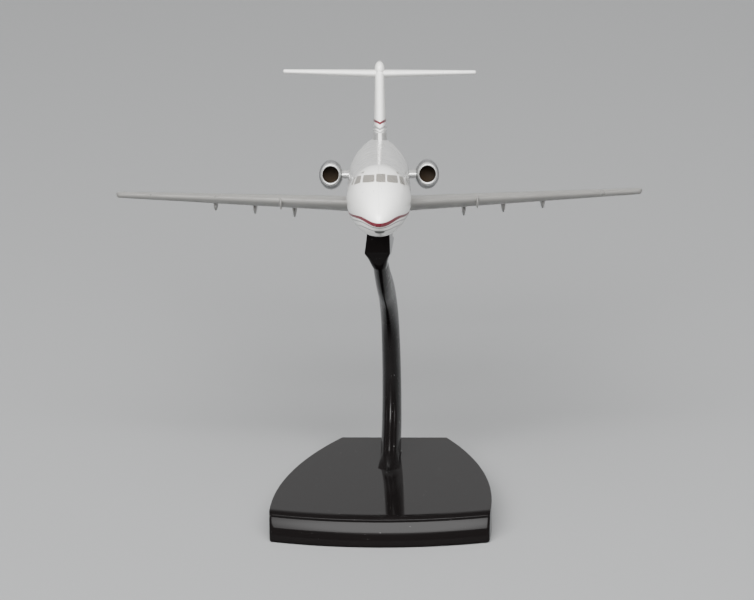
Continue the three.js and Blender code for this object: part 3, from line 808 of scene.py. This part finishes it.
def fin_wrap(turn, side, z):
    """A point and normal on the fin's skin. turn runs 0 at the leading edge to 1 at the tail."""
    along = turn ** 2 * 0.97
    sideways = min(1.0, along * 12)
    normal = Vector((side * sqrt(sideways), -sqrt(1 - sideways), 0))
    return fin_point(side, z, along), normal


FIN_BANDS = (
    ("fin_red_band", RED_PRINT, 13.95, 0.34),
    ("fin_silver_band_upper", SILVER_PRINT, 12.4, 0.28),
    ("fin_silver_band_lower", SILVER_PRINT, 11.5, 0.14),
)
FIN_BAND_DIP = 0.6
FIN_BAND_DIP_FADE = 7
# the silver panel low on each side of the fin: partly livery silver, partly painted shade that darkens
# the fin's sides
FIN_SILVER_AND_SHADE_PANEL = Sizes(low=8.4, high=10.9, start=0.09)
RUDDER = Sizes(low=9.6, high=25, edges=(0.716, 0.724))


def fin_bands():
    """Stripes that wrap round the fin's leading edge as a V, and a silver panel on each side, whose grey
    is partly livery silver and partly painted shade on the fin's sides.
    """
    for name, material, height, half in FIN_BANDS:
        grid = []
        for turn in evenly(-1, 1, 100):
            side = 1 if turn > 0 else -1
            dip = -FIN_BAND_DIP * exp(-abs(turn) * FIN_BAND_DIP_FADE)
            heights = [height + dip + offset for offset in (-half, 0, half)]
            grid.append([fin_wrap(abs(turn), side, z) for z in heights])
        print_on(name, grid, material)
    levels = evenly(FIN_SILVER_AND_SHADE_PANEL.low, FIN_SILVER_AND_SHADE_PANEL.high, 6)
    # this panel's grey is partly painted shade on the fin's sides, as well as silver livery
    for side, label in SIDES:
        grid = [[fin_wrap(t, side, z) for z in levels] for t in evenly(FIN_SILVER_AND_SHADE_PANEL.start, 1, 40)]
        print_on(f"fin_silver_panel_and_painted_shade_{label}", grid, SILVER_PRINT)


def rudder_lines():
    for side, label in SIDES:
        outward = Vector((side, 0, 0))
        grid = [
            [(fin_point(side, z, along), outward) for along in RUDDER.edges]
            for z in evenly(RUDDER.low, RUDDER.high, 30)
        ]
        print_on(f"rudder_line_{label}", grid, GROOVE, LINE_LIFT)


def bullet():
    """The blunt fairing on top of the fin: round in front, drawn out behind."""
    rings = []
    for t in evenly(0.001, 0.999, 70):
        ahead = sqrt(1 - (1 - min(1.0, t / BULLET.nose)) ** 2)
        behind = 1 - max(0.0, (t - BULLET.taper) / (1 - BULLET.taper)) ** 2.2
        full = ahead * mix(0.03, 1, behind)
        y = mix(BULLET.front, BULLET.back, t)
        ring = []
        for turn in turns(48):
            x = FIN.shift + BULLET.radius * full * sin(turn)
            ring.append(Vector((x, y, BULLET.z + BULLET.height * full * cos(turn))))
        rings.append(ring)
    air_loft("fin_bullet", rings, WHITE, "tailplane_bullet", slot="white_gloss")


# ---- engines ----

def oval(side, y, half_width, half_height=None, sides=72):
    """An upright oval, or a circle, round an engine's axis, which droops towards the back."""
    if half_height is None:
        half_height = half_width
    x = side * ENGINE.x
    z = ENGINE.z - (y - ENGINE.front) * ENGINE_DROOP
    return [
        Vector((x + half_width * sin(turn), y, z + half_height * cos(turn)))
        for turn in turns(sides)
    ]


def nacelle_oval(side, y, grow, lift=0.0):
    return oval(side, y, ENGINE.half_width * grow + lift, ENGINE.half_height * grow + lift)


def smooth_profile(knots, count):
    """Points on a smooth curve through (t, value) knots."""
    result = []
    for k in range(len(knots) - 1):
        before = knots[max(0, k - 1)]
        a, b = knots[k], knots[k + 1]
        after = knots[min(len(knots) - 1, k + 2)]
        slope_a = (b[1] - before[1]) / (b[0] - before[0])
        slope_b = (after[1] - a[1]) / (after[0] - a[0])
        width = b[0] - a[0]
        for i in range(count):
            s = i / count
            value = ((2 * s ** 3 - 3 * s ** 2 + 1) * a[1] + (s ** 3 - 2 * s ** 2 + s) * width * slope_a
                     + (3 * s ** 2 - 2 * s ** 3) * b[1] + (s ** 3 - s ** 2) * width * slope_b)
            result.append((a[0] + s * width, value))
    return result + [knots[-1]]


NACELLE_KNOTS = [(0, 0.8), (0.05, 0.88), (0.14, 0.96), (0.3, 1), (0.55, 1), (0.8, 0.9), (1, 0.74)]


NACELLE_BANDS = (0.28, 0.62, 0.86)
NACELLE_BAND_HALF = 0.06
NOZZLE_GAP = 0.12
NOZZLE_POCKET = 5
NOZZLE_SUNK = 2.6
NOZZLE_WALL = 0.32
NOZZLE_RIM = 0.15
PLUG_RADIUS = 1.15
PLUG_LENGTH = 4.1
BLANK_GAP = 0.06
BLANK_DISH = 0.5
BLANK_THICK = 1.8


def nacelle(side, label):
    """An engine's skin: the intake in front, a pocket for the nozzle behind, and fine bands."""
    front, length = ENGINE.front, ENGINE.length
    rings = [oval(side, front + INTAKE_DEPTH, INTAKE_BORE), oval(side, front, INTAKE_BORE)]
    for t, grow in smooth_profile(NACELLE_KNOTS, 6):
        rings.append(nacelle_oval(side, front + t * length, grow))
    pocket = NOZZLE_RADIUS + NOZZLE_GAP
    rings.append(oval(side, front + length, pocket))
    rings.append(oval(side, front + length - NOZZLE_POCKET, pocket))
    air_loft(f"nacelle_skin_{label}", rings, ENGINE_PAINT, f"engine_nacelle_{label}",
             slot="engine_grey", smooth_angle=50)
    grow = dict(smooth_profile(NACELLE_KNOTS, 50))
    for i, t in enumerate(NACELLE_BANDS, start=1):
        nearest = min(grow, key=lambda key: abs(key - t))
        ring_band(f"nacelle_band_{label}_{i}", side, front + t * length, grow[nearest])


def ring_band(name, side, y, grow):
    """A fine panel line round the nacelle."""
    near, far = -NACELLE_BAND_HALF, NACELLE_BAND_HALF
    profile = ((near, -0.03), (near, 0.02), (far, 0.02), (far, -0.03))
    rings = [nacelle_oval(side, y + behind, grow, lift) for behind, lift in profile]
    air_loft(name, rings, GROOVE, closed=True, smooth_angle=60)


def intake_lip(side, label):
    """The bright ring round the intake: a rounded rim, then a skirt that widens to the nacelle."""
    back = ENGINE.front - 0.02
    rings = [oval(side, back, INTAKE_BORE)]
    for turn in evenly(0, pi, 10):
        out = (1 - cos(turn)) / 2
        wide = mix(INTAKE_BORE, LIP.half_width * LIP.rim, out)
        tall = mix(INTAKE_BORE, LIP.half_height * LIP.rim, out)
        rings.append(oval(side, LIP.front + LIP.round * (1 - sin(turn)), wide, tall))
    for t in evenly(0.2, 1, 6):
        y = mix(LIP.front + LIP.round, back, t)
        grow = mix(LIP.rim, LIP.root, t ** 0.7)
        rings.append(oval(side, y, LIP.half_width * grow, LIP.half_height * grow))
    air_loft(f"intake_ring_{label}", rings, LIP_PAINT, f"intake_lip_{label}",
             slot="bright_lip", closed=True, smooth_angle=60)


def fan(side, label):
    """The dark dished blank at the back of the intake."""
    y = ENGINE.front + INTAKE_DEPTH - 1
    radius = INTAKE_BORE - BLANK_GAP
    rings = [oval(side, y + BLANK_THICK, radius)]
    for t in evenly(1, 0.02, 12):
        rings.append(oval(side, y + BLANK_DISH * (1 - t * t), radius * t))
    air_loft(f"fan_blank_{label}", rings, INTAKE_DARK, f"intake_blank_{label}",
             slot="dark_blank", smooth_angle=50)


def nozzle(side, label):
    """The hollow nozzle at the back of an engine, and the plug inside it."""
    front = ENGINE.front + ENGINE.length - NOZZLE_SUNK
    back = front + NOZZLE_LENGTH
    inner = NOZZLE_RADIUS - NOZZLE_WALL
    rings = [oval(side, front, NOZZLE_RADIUS), oval(side, front + NOZZLE_SUNK, NOZZLE_RADIUS)]
    for t in evenly(0.2, 1, 5):
        y = mix(front + NOZZLE_SUNK, back - NOZZLE_RIM, t)
        rings.append(oval(side, y, mix(NOZZLE_RADIUS, NOZZLE_RADIUS * 0.9, t)))
    rings.append(oval(side, back, NOZZLE_RADIUS * 0.86))
    rings.append(oval(side, back - NOZZLE_RIM, inner * 0.92))
    rings.append(oval(side, front + 0.7, inner))
    air_loft(f"nozzle_{label}", rings, NOZZLE_METAL, f"exhaust_nozzle_{label}",
             slot="bright_lip", smooth_angle=50)
    plug = []
    for t in evenly(0, 1, 14):
        radius = PLUG_RADIUS * max(0.02, cos(t * pi / 2)) ** 0.8
        plug.append(oval(side, front + 0.75 + PLUG_LENGTH * t, radius, sides=40))
    air_loft(f"exhaust_plug_{label}", plug, NOZZLE_METAL, f"exhaust_cone_{label}", slot="engine_grey")


def pylon(side, label):
    """The stub that carries the engine, rounded in front."""
    rings = []
    for x in evenly(PYLON.inner_x, PYLON.outer_x, 16):
        ring = []
        for along, face in around_section(32):
            y = mix(PYLON.front, PYLON.back, along)
            droop = (y - ENGINE.front) * ENGINE_DROOP * 0.5
            rise = face * (foil(along) ** 0.7 * 0.62 * PYLON.thick)
            ring.append(Vector((side * x, y, PYLON.z - droop + rise)))
        rings.append(ring)
    air_loft(f"pylon_{label}", rings, LIP_PAINT, f"engine_pylon_{label}", slot="engine_grey")


# ---- under the wings ----

FAIRING_SPANS = (23, 33.8, 44.6)
FAIRING = Sizes(length=9.5, half_width=0.7, root_drop=3.8, drop_loss=0.042)
VORTILON = Sizes(x=26.4, length=6.5, half_width=0.75, drop=3.0, ahead=0.7, sunk=0.35)


def keel_ring(x, y, z, half, depth, tip_share, sides=33):
    """Half an oval hanging from a wing: flat on top, its tip a share of the width."""
    ring = []
    for i in range(sides):
        turn = pi * i / (sides - 1)
        across, down = cos(turn), sin(turn)
        wide = powered(across, 0.55) * mix(1.0, tip_share, down ** 2)
        ring.append(Vector((x + half * wide, y, z - depth * down ** 0.8)))
    return ring


def flap_fairing(side, label, index, x):
    """A slim keel under the wing at a flap hinge, its edges rounded."""
    trail = panel_at(WING, x)[1]
    z = panel_point(WING, side, x, 0.8, 0).z
    start = trail - FAIRING.length * 0.85
    drop = FAIRING.root_drop - (x - FAIRING_SPANS[0]) * FAIRING.drop_loss
    rings = []
    for t in evenly(0, 1, 40):
        fullness = sin(pi * mix(0.06, 0.92, t)) ** 0.5
        half = FAIRING.half_width * fullness
        y = start + FAIRING.length * t
        rings.append(keel_ring(side * x, y, z - 0.1, half, drop * mix(0.25, 1.0, fullness), 0.55))
    air_loft(f"flap_hinge_fairing_{label}_{index}", rings, WING_PAINT, f"flap_fairing_{label}_{index}",
             slot="grey_plastic")


def vortilon_fence(side, label):
    """The small wedge that hangs from the leading edge, sharp in front and thin at its foot."""
    x, sunk = side * VORTILON.x, VORTILON.sunk
    lead = panel_at(WING, VORTILON.x)[0]
    z = panel_at(WING, VORTILON.x)[2]
    rings = []
    for t in evenly(0, 1, 30):
        y = lead - VORTILON.ahead + VORTILON.length * t
        half = VORTILON.half_width * min(1.0, 0.12 + t * 3.2) * mix(1.0, 0.4, t)
        depth = VORTILON.drop * min(1.0, 0.45 + t * 2.5) * mix(1.0, 0.55, t)
        rings.append(keel_ring(x, y, z + sunk, half, depth + sunk, 0.3, 25))
    air_loft(f"vortilon_fence_{label}", rings, WING_PAINT, f"vortilon_{label}", slot="wing_grey")


# ---- stand ----

BASE = Sizes(
    half_widest=29.75, widest_y=-23, half_rear=14.65, front=-30.5, rear=31.7, bulge=4.2,
    height=8, rim=0.3, corner=0.7, side_round=0.25,
)


def base_ring(inset, front_inset, z):
    """The plan of the base: straight rear edge, bowed sides and bowed front."""
    draw = BASE.half_widest - BASE.half_rear
    side_arc = ((BASE.rear - BASE.widest_y) ** 2 + draw ** 2) / (2 * draw)
    centre = BASE.half_widest - side_arc

    def side_x(y):
        return centre + sqrt(side_arc ** 2 - (y - BASE.widest_y) ** 2) - inset

    corner_y = BASE.front + inset + front_inset
    corner_x = side_x(corner_y)
    bow = BASE.bulge
    front_arc = (corner_x ** 2 + bow ** 2) / (2 * bow)
    corner = Vector((corner_x, corner_y, z))
    ring = []
    for x in evenly(BASE.corner - corner_x, corner_x - BASE.corner, 60):
        ring.append(Vector((x, corner_y + front_arc - bow - sqrt(front_arc ** 2 - x ** 2), z)))
    right = [Vector((side_x(y), y, z)) for y in evenly(corner_y + BASE.corner, BASE.rear - inset, 60)]
    turn = [ring[-1].lerp(corner, t).lerp(corner.lerp(right[0], t), t) for t in evenly(0, 1, 8)[1:-1]]
    right = turn + right
    back = [Vector((x, right[-1].y, z)) for x in evenly(right[-1].x, -right[-1].x, 20)[1:-1]]
    left = [Vector((-p.x, p.y, z)) for p in reversed(right)]
    return ring + right + back + left


FRONT_ROLL = 9.65
FRONT_ROLL_END = radians(40)
FRONT_SHOULDER = 3.2
FRONT_BEAD = 0.3
FRONT_TURN_OVER = radians(50)


def base_front():
    """The front's profile from the bottom up, as (how far back, height): a roll, then a bead."""
    height, turn_over = BASE.height, FRONT_TURN_OVER
    profile = []
    for turn in evenly(radians(2), FRONT_ROLL_END, 16):
        profile.append((FRONT_ROLL * (1 - cos(turn)), BASE.rim + FRONT_ROLL * sin(turn)))
    crease = FRONT_ROLL * (1 - cos(FRONT_ROLL_END))
    bead_top = height - FRONT_SHOULDER * (1 - sin(turn_over))
    for turn in evenly(radians(-20), turn_over, 10):
        back = crease + FRONT_BEAD * (1 - cos(turn))
        profile.append((back, bead_top - FRONT_BEAD * (sin(turn_over) - sin(turn))))
    bead_back = profile[-1][0]
    for turn in evenly(turn_over, pi / 2, 10)[1:]:
        back = bead_back + FRONT_SHOULDER * (cos(turn_over) - cos(turn))
        profile.append((back, height - FRONT_SHOULDER * (1 - sin(turn))))
    return profile


def base():
    """The glossy base: upright sides, and a front that rolls back to a bead along the top edge."""
    height, rim, side_round = BASE.height, BASE.rim, BASE.side_round
    rings = [base_ring(6, 0, rim), base_ring(0.12, 0, rim)]
    profile = base_front()
    for back, z in profile:
        up = max(0.0, (z - (height - side_round)) / side_round)
        edge = side_round * (1 - sqrt(max(0.0, 1 - up * up)))
        rings.append(base_ring(edge, back - edge, z))
    rings.append(base_ring(side_round + 0.5, profile[-1][0], height))
    on_stand(loft("base_moulding", rings, STAND, BLACK, smooth_angle=25), "base_shell")


# the arm's middle line as (y, z), from the base up to the head
ARM_POINTS = [
    (13, 8), (20.5, 16), (24.2, 26), (24.8, 36), (22.6, 46), (14.6, 55.5), (2.5, 63.8), (-7.6, 72.2),
]


def curve_through(points, t):
    """A smooth curve through (y, z) points, t from 0 to 1, and its direction."""
    place = min(t * (len(points) - 1), len(points) - 1 - 1e-6)
    k = int(place)
    s = place - k
    p = [Vector(points[max(0, min(len(points) - 1, k + i))]) for i in (-1, 0, 1, 2)]
    if k == 0:
        p[0] = p[1] * 2 - p[2]
    if k == len(points) - 2:
        p[3] = p[2] * 2 - p[1]
    spot = 0.5 * (2 * p[1] + (p[2] - p[0]) * s + (2 * p[0] - 5 * p[1] + 4 * p[2] - p[3]) * s ** 2
                  + (3 * p[1] - p[0] - 3 * p[2] + p[3]) * s ** 3)
    slope = 0.5 * ((p[2] - p[0]) + 2 * (2 * p[0] - 5 * p[1] + 4 * p[2] - p[3]) * s
                   + 3 * (3 * p[1] - p[0] - 3 * p[2] + p[3]) * s ** 2)
    return spot, slope.normalized()


def hollowed(a, b, sag, count):
    """Points from a towards b along a shallow curve that sags to the left of the way."""
    way = b - a
    inward = Vector((-way.y, way.x)).normalized()
    return [a.lerp(b, t) + inward * sag * 4 * t * (1 - t) for t in evenly(0, 1, count)[:-1]]


ARM_SHIFT = 0.22
ARM_CORNER_STEPS = 12


def fluted_section(half_width, front, rear, keel, sag):
    """A six-pointed section: keels in front and behind, four corners, hollow flutes between."""
    corners = [
        Vector((0, -front - keel)),
        Vector((half_width, -front)),
        Vector((half_width * 0.92, rear)),
        Vector((0, rear + keel * 0.6)),
        Vector((-half_width * 0.92, rear)),
        Vector((-half_width, -front)),
    ]
    points = []
    for i, corner in enumerate(corners):
        points += hollowed(corner, corners[(i + 1) % len(corners)], sag, ARM_CORNER_STEPS)
    return points


GROOVE_ANGLE = radians(19)
GROOVE_SPREAD = radians(9)
GROOVE_DEPTH = 0.07
GROOVE_END = 0.33
GROOVE_FADE = 0.14
FOOT_HEIGHT = 2.2
UPRIGHT_END = 0.2


def grooved_oval(half_width, half_depth, groove):
    """An oval with a shallow groove on each side of its front, starting in front."""
    points = []
    for angle in turns(6 * ARM_CORNER_STEPS):
        from_front = min(angle, 2 * pi - angle)
        sink = 1 - groove * exp(-((from_front - GROOVE_ANGLE) / GROOVE_SPREAD) ** 2)
        points.append(Vector((half_width * sin(angle), -half_depth * cos(angle) * sink)))
    return points


def arm_ring(t):
    """One section of the arm: a deep oval, grooved in front low down, flared to points at the foot."""
    spot, slope = curve_through(ARM_POINTS, t)
    foot = max(0.0, 1 - (spot.y - BASE.height) / FOOT_HEIGHT) ** 2
    groove = GROOVE_DEPTH * min(1.0, max(0.0, (GROOVE_END - t) / GROOVE_FADE))
    upright = max(0.0, 1 - t / UPRIGHT_END) ** 2
    square = Vector((slope.y, -slope.x))
    back = square.lerp(Vector((1, 0)), upright).normalized()
    half_width = mix(2.8, 2.25, t ** 0.8) - 0.45 * max(0.0, t - 0.5)
    half_depth = (mix(6.2, 4.4, t) - 1.4 * max(0.0, (t - 0.8) / 0.2)) * mix(1, 1.15, upright)
    round_points = grooved_oval(half_width, half_depth, groove)
    star_points = fluted_section(3.0, 7.0, 7.8, 5.4, 1.1)
    ring = []
    for smooth, star in zip(round_points, star_points):
        place = smooth.lerp(star, foot)
        centre = spot + back * place.y
        ring.append(Vector((ARM_SHIFT + place.x, centre.x, centre.y)))
    return ring


def arm():
    rings = [arm_ring(t) for t in evenly(0, 1, 170, 1.3)]
    on_stand(loft("arm_moulding", rings, STAND, ARM_BLACK, smooth_angle=50), "stand_arm")


# depth below the belly, front and back, half width and sideways lean of the head at each level
HEAD_LEVELS = (
    (0.0, -8.0, 4.2, 2.9, 0.35),
    (4.2, -8.0, 4.4, 3.15, 0.2),
    (4.7, -8.0, 9.4, 3.2, 0.16),
    (5.4, -8.0, 8.2, 3.25, 0.12),
    (7.6, -8.0, -0.6, 3.42, 0.0),
    (7.9, -7.95, -1.4, 3.42, 0.0),
    (8.3, -7.7, -1.4, 3.25, 0.0),
    (9.2, -7.2, -0.4, 2.75, 0.05),
    (10.2, -6.6, 0.6, 2.4, 0.1),
    (11.4, -5.8, 1.4, 2.1, 0.2),
    (12.4, -4.6, 1.8, 1.7, 0.25),
)


def head():
    """The block on top of the arm: flat front, sides that lean in, and a funnel into the neck."""
    rings = []
    for down, front, back, half, lean in HEAD_LEVELS:
        middle = (front + back) / 2
        deep = (back - front) / 2
        power = mix(0.1, 0.8, min(1.0, max(0.0, (down - 8) / 4)))
        ring = []
        for i in range(64):
            angle = 2 * pi * (i + 0.5) / 64
            x = lean + half * powered(sin(angle), power)
            y = middle + deep * powered(cos(angle), power)
            ring.append(Vector((x, y, -down)))
        rings.append(ring)
    on_stand(loft("head_block", rings, TILT, BLACK, smooth_angle=30))


# ---- CAD nodes that keep their shape ----

def finish_node(node, material):
    piece = frame["nodes"][node]
    piece.data.materials.clear()
    piece.data.materials.append(material)


# ---- floor, light and camera ----

FLOOR_REACH = 4.0


def floor():
    mesh = bpy.data.meshes.new("floor")
    near, far = -FLOOR_REACH, FLOOR_REACH
    mesh.from_pydata([(near, near, 0), (far, near, 0), (far, far, 0), (near, far, 0)], [], [(0, 1, 2, 3)])
    piece = bpy.data.objects.new("floor", mesh)
    scene.collection.objects.link(piece)
    material, shader = new_material("pale_floor", (0.222, 0.225, 0.227), 0.9)
    shader.inputs["Specular IOR Level"].default_value = 0.1
    mesh.materials.append(material)


def from_angles(azimuth, elevation):
    """Unit vector towards a point of the room. Azimuth 0 is in front, positive towards +X."""
    azimuth, elevation = radians(azimuth), radians(elevation)
    flat = cos(elevation)
    return Vector((sin(azimuth) * flat, -cos(azimuth) * flat, sin(elevation)))


KEY_DIRECTION = from_angles(-3, 43)
KEY_ACROSS = Vector((1, 0, 0))
KEY_UP = from_angles(0, 43).cross(KEY_ACROSS) * -1
KEY_HALF_ACROSS = sin(radians(38))
KEY_HALF_UP = sin(radians(25))
KEY_RADIANCE = 10
ROOM_DIRECTION = Vector((0, 0.96, 0.28))
SOFTBOX = dict(distance=1.15, width=1.6, height=0.86, radiance=11)
LIGHT_AIM = Vector((0, 0, 0.06))


def softbox(name, direction, distance, width, height, radiance):
    """A plain rectangular light that faces the model."""
    data = bpy.data.lights.new(name, "AREA")
    data.shape = "RECTANGLE"
    data.size, data.size_y = width, height
    data.energy = radiance * pi * width * height
    lamp = bpy.data.objects.new(name, data)
    scene.collection.objects.link(lamp)
    lamp.location = LIGHT_AIM + direction * distance
    lamp.rotation_euler = (-direction).to_track_quat("-Z", "Y").to_euler()
    lamp.visible_camera = False


def facing(tree, towards):
    """How much a direction of the room faces another one, as a dot product."""
    room = add_node(tree, "TexCoord", "Generated")
    return add_node(tree, "VectorMath", "Value", {0: room, 1: towards}, operation="DOT_PRODUCT")


def combined(tree, operation, first, second):
    return add_node(tree, "Math", "Value", {0: first, 1: second}, operation=operation)


def studio_world():
    """Soft light from the back of the room, and a big soft-edged oval light in front, above."""
    world = bpy.data.worlds.new("studio")
    scene.world = world
    world.use_nodes = True
    tree = world.node_tree
    background = tree.nodes["Background"]
    background.inputs["Color"].default_value = (1, 1, 1, 1)
    room = ranged(tree, facing(tree, ROOM_DIRECTION), 0.45, 0.92, 0.08, 0.9, "SMOOTHSTEP")
    across = facing(tree, KEY_ACROSS / KEY_HALF_ACROSS)
    up = facing(tree, KEY_UP / KEY_HALF_UP)
    across_squared, up_squared = (combined(tree, "MULTIPLY", way, way) for way in (across, up))
    off_centre = combined(tree, "ADD", across_squared, up_squared)
    oval_light = ranged(tree, off_centre, 0.2, 1, KEY_RADIANCE, 0, "SMOOTHSTEP")
    in_front = ranged(tree, facing(tree, KEY_DIRECTION), 0.3, 0.31, 0, 1, "SMOOTHSTEP")
    key = combined(tree, "MULTIPLY", oval_light, in_front)
    tree.links.new(combined(tree, "ADD", room, key), background.inputs["Strength"])


def lights():
    studio_world()
    softbox("key_softbox", KEY_DIRECTION, **SOFTBOX)


CAMERA_DIRECTION = from_angles(4.5, 17.8)
CAMERA_ROLL = radians(-1.41)
CAMERA_DISTANCE = 1.3
CAMERA_TARGET = Vector((-1.42, 0, 58.39)) * MM


def camera():
    """At the height, angle, distance and slight tilt that the model is seen from."""
    data = bpy.data.cameras.new("camera")
    data.sensor_width = 36
    data.lens = 230.2
    data.clip_end = 20
    view = bpy.data.objects.new("camera", data)
    scene.collection.objects.link(view)
    view.location = CAMERA_TARGET + CAMERA_DIRECTION * CAMERA_DISTANCE
    aim = (-CAMERA_DIRECTION).to_track_quat("-Z", "Y").to_matrix().to_4x4()
    view.rotation_euler = (aim @ Matrix.Rotation(CAMERA_ROLL, 4, "Z")).to_euler()
    scene.camera = view


# ---- assembly ----

camera()
lights()
floor()

for side_sign, side_label in SIDES:
    fuselage_half(side_label, side_sign)
    panel_solid(f"wing_skin_{side_label}", WING, side_sign, WING_PAINT,
                f"wing_{side_label}", slot="wing_grey")
    panel_solid(f"tailplane_skin_{side_label}", TAILPLANE, side_sign, WHITE,
                f"tailplane_{side_label}", slot="white_gloss")
    wing_details(side_sign, side_label)
    root_fillet(side_sign, side_label)
    nacelle(side_sign, side_label)
    intake_lip(side_sign, side_label)
    fan(side_sign, side_label)
    nozzle(side_sign, side_label)
    pylon(side_sign, side_label)
    vortilon_fence(side_sign, side_label)
    for fairing_index, span in enumerate(FAIRING_SPANS, start=1):
        flap_fairing(side_sign, side_label, fairing_index, span)
fin()
bullet()
fin_bands()
rudder_lines()
cockpit()
cheat_stripes()
cabin_windows()
belly_mark()
base()
arm()
head()
for steel_node in ("mounting_pin", "arm_screw", "arm_washer", "base_ballast_plate"):
    finish_node(steel_node, STEEL)
finish_node("base_felt_pad", FELT)
finish_node("stand_socket", FAIRING_PAINT)
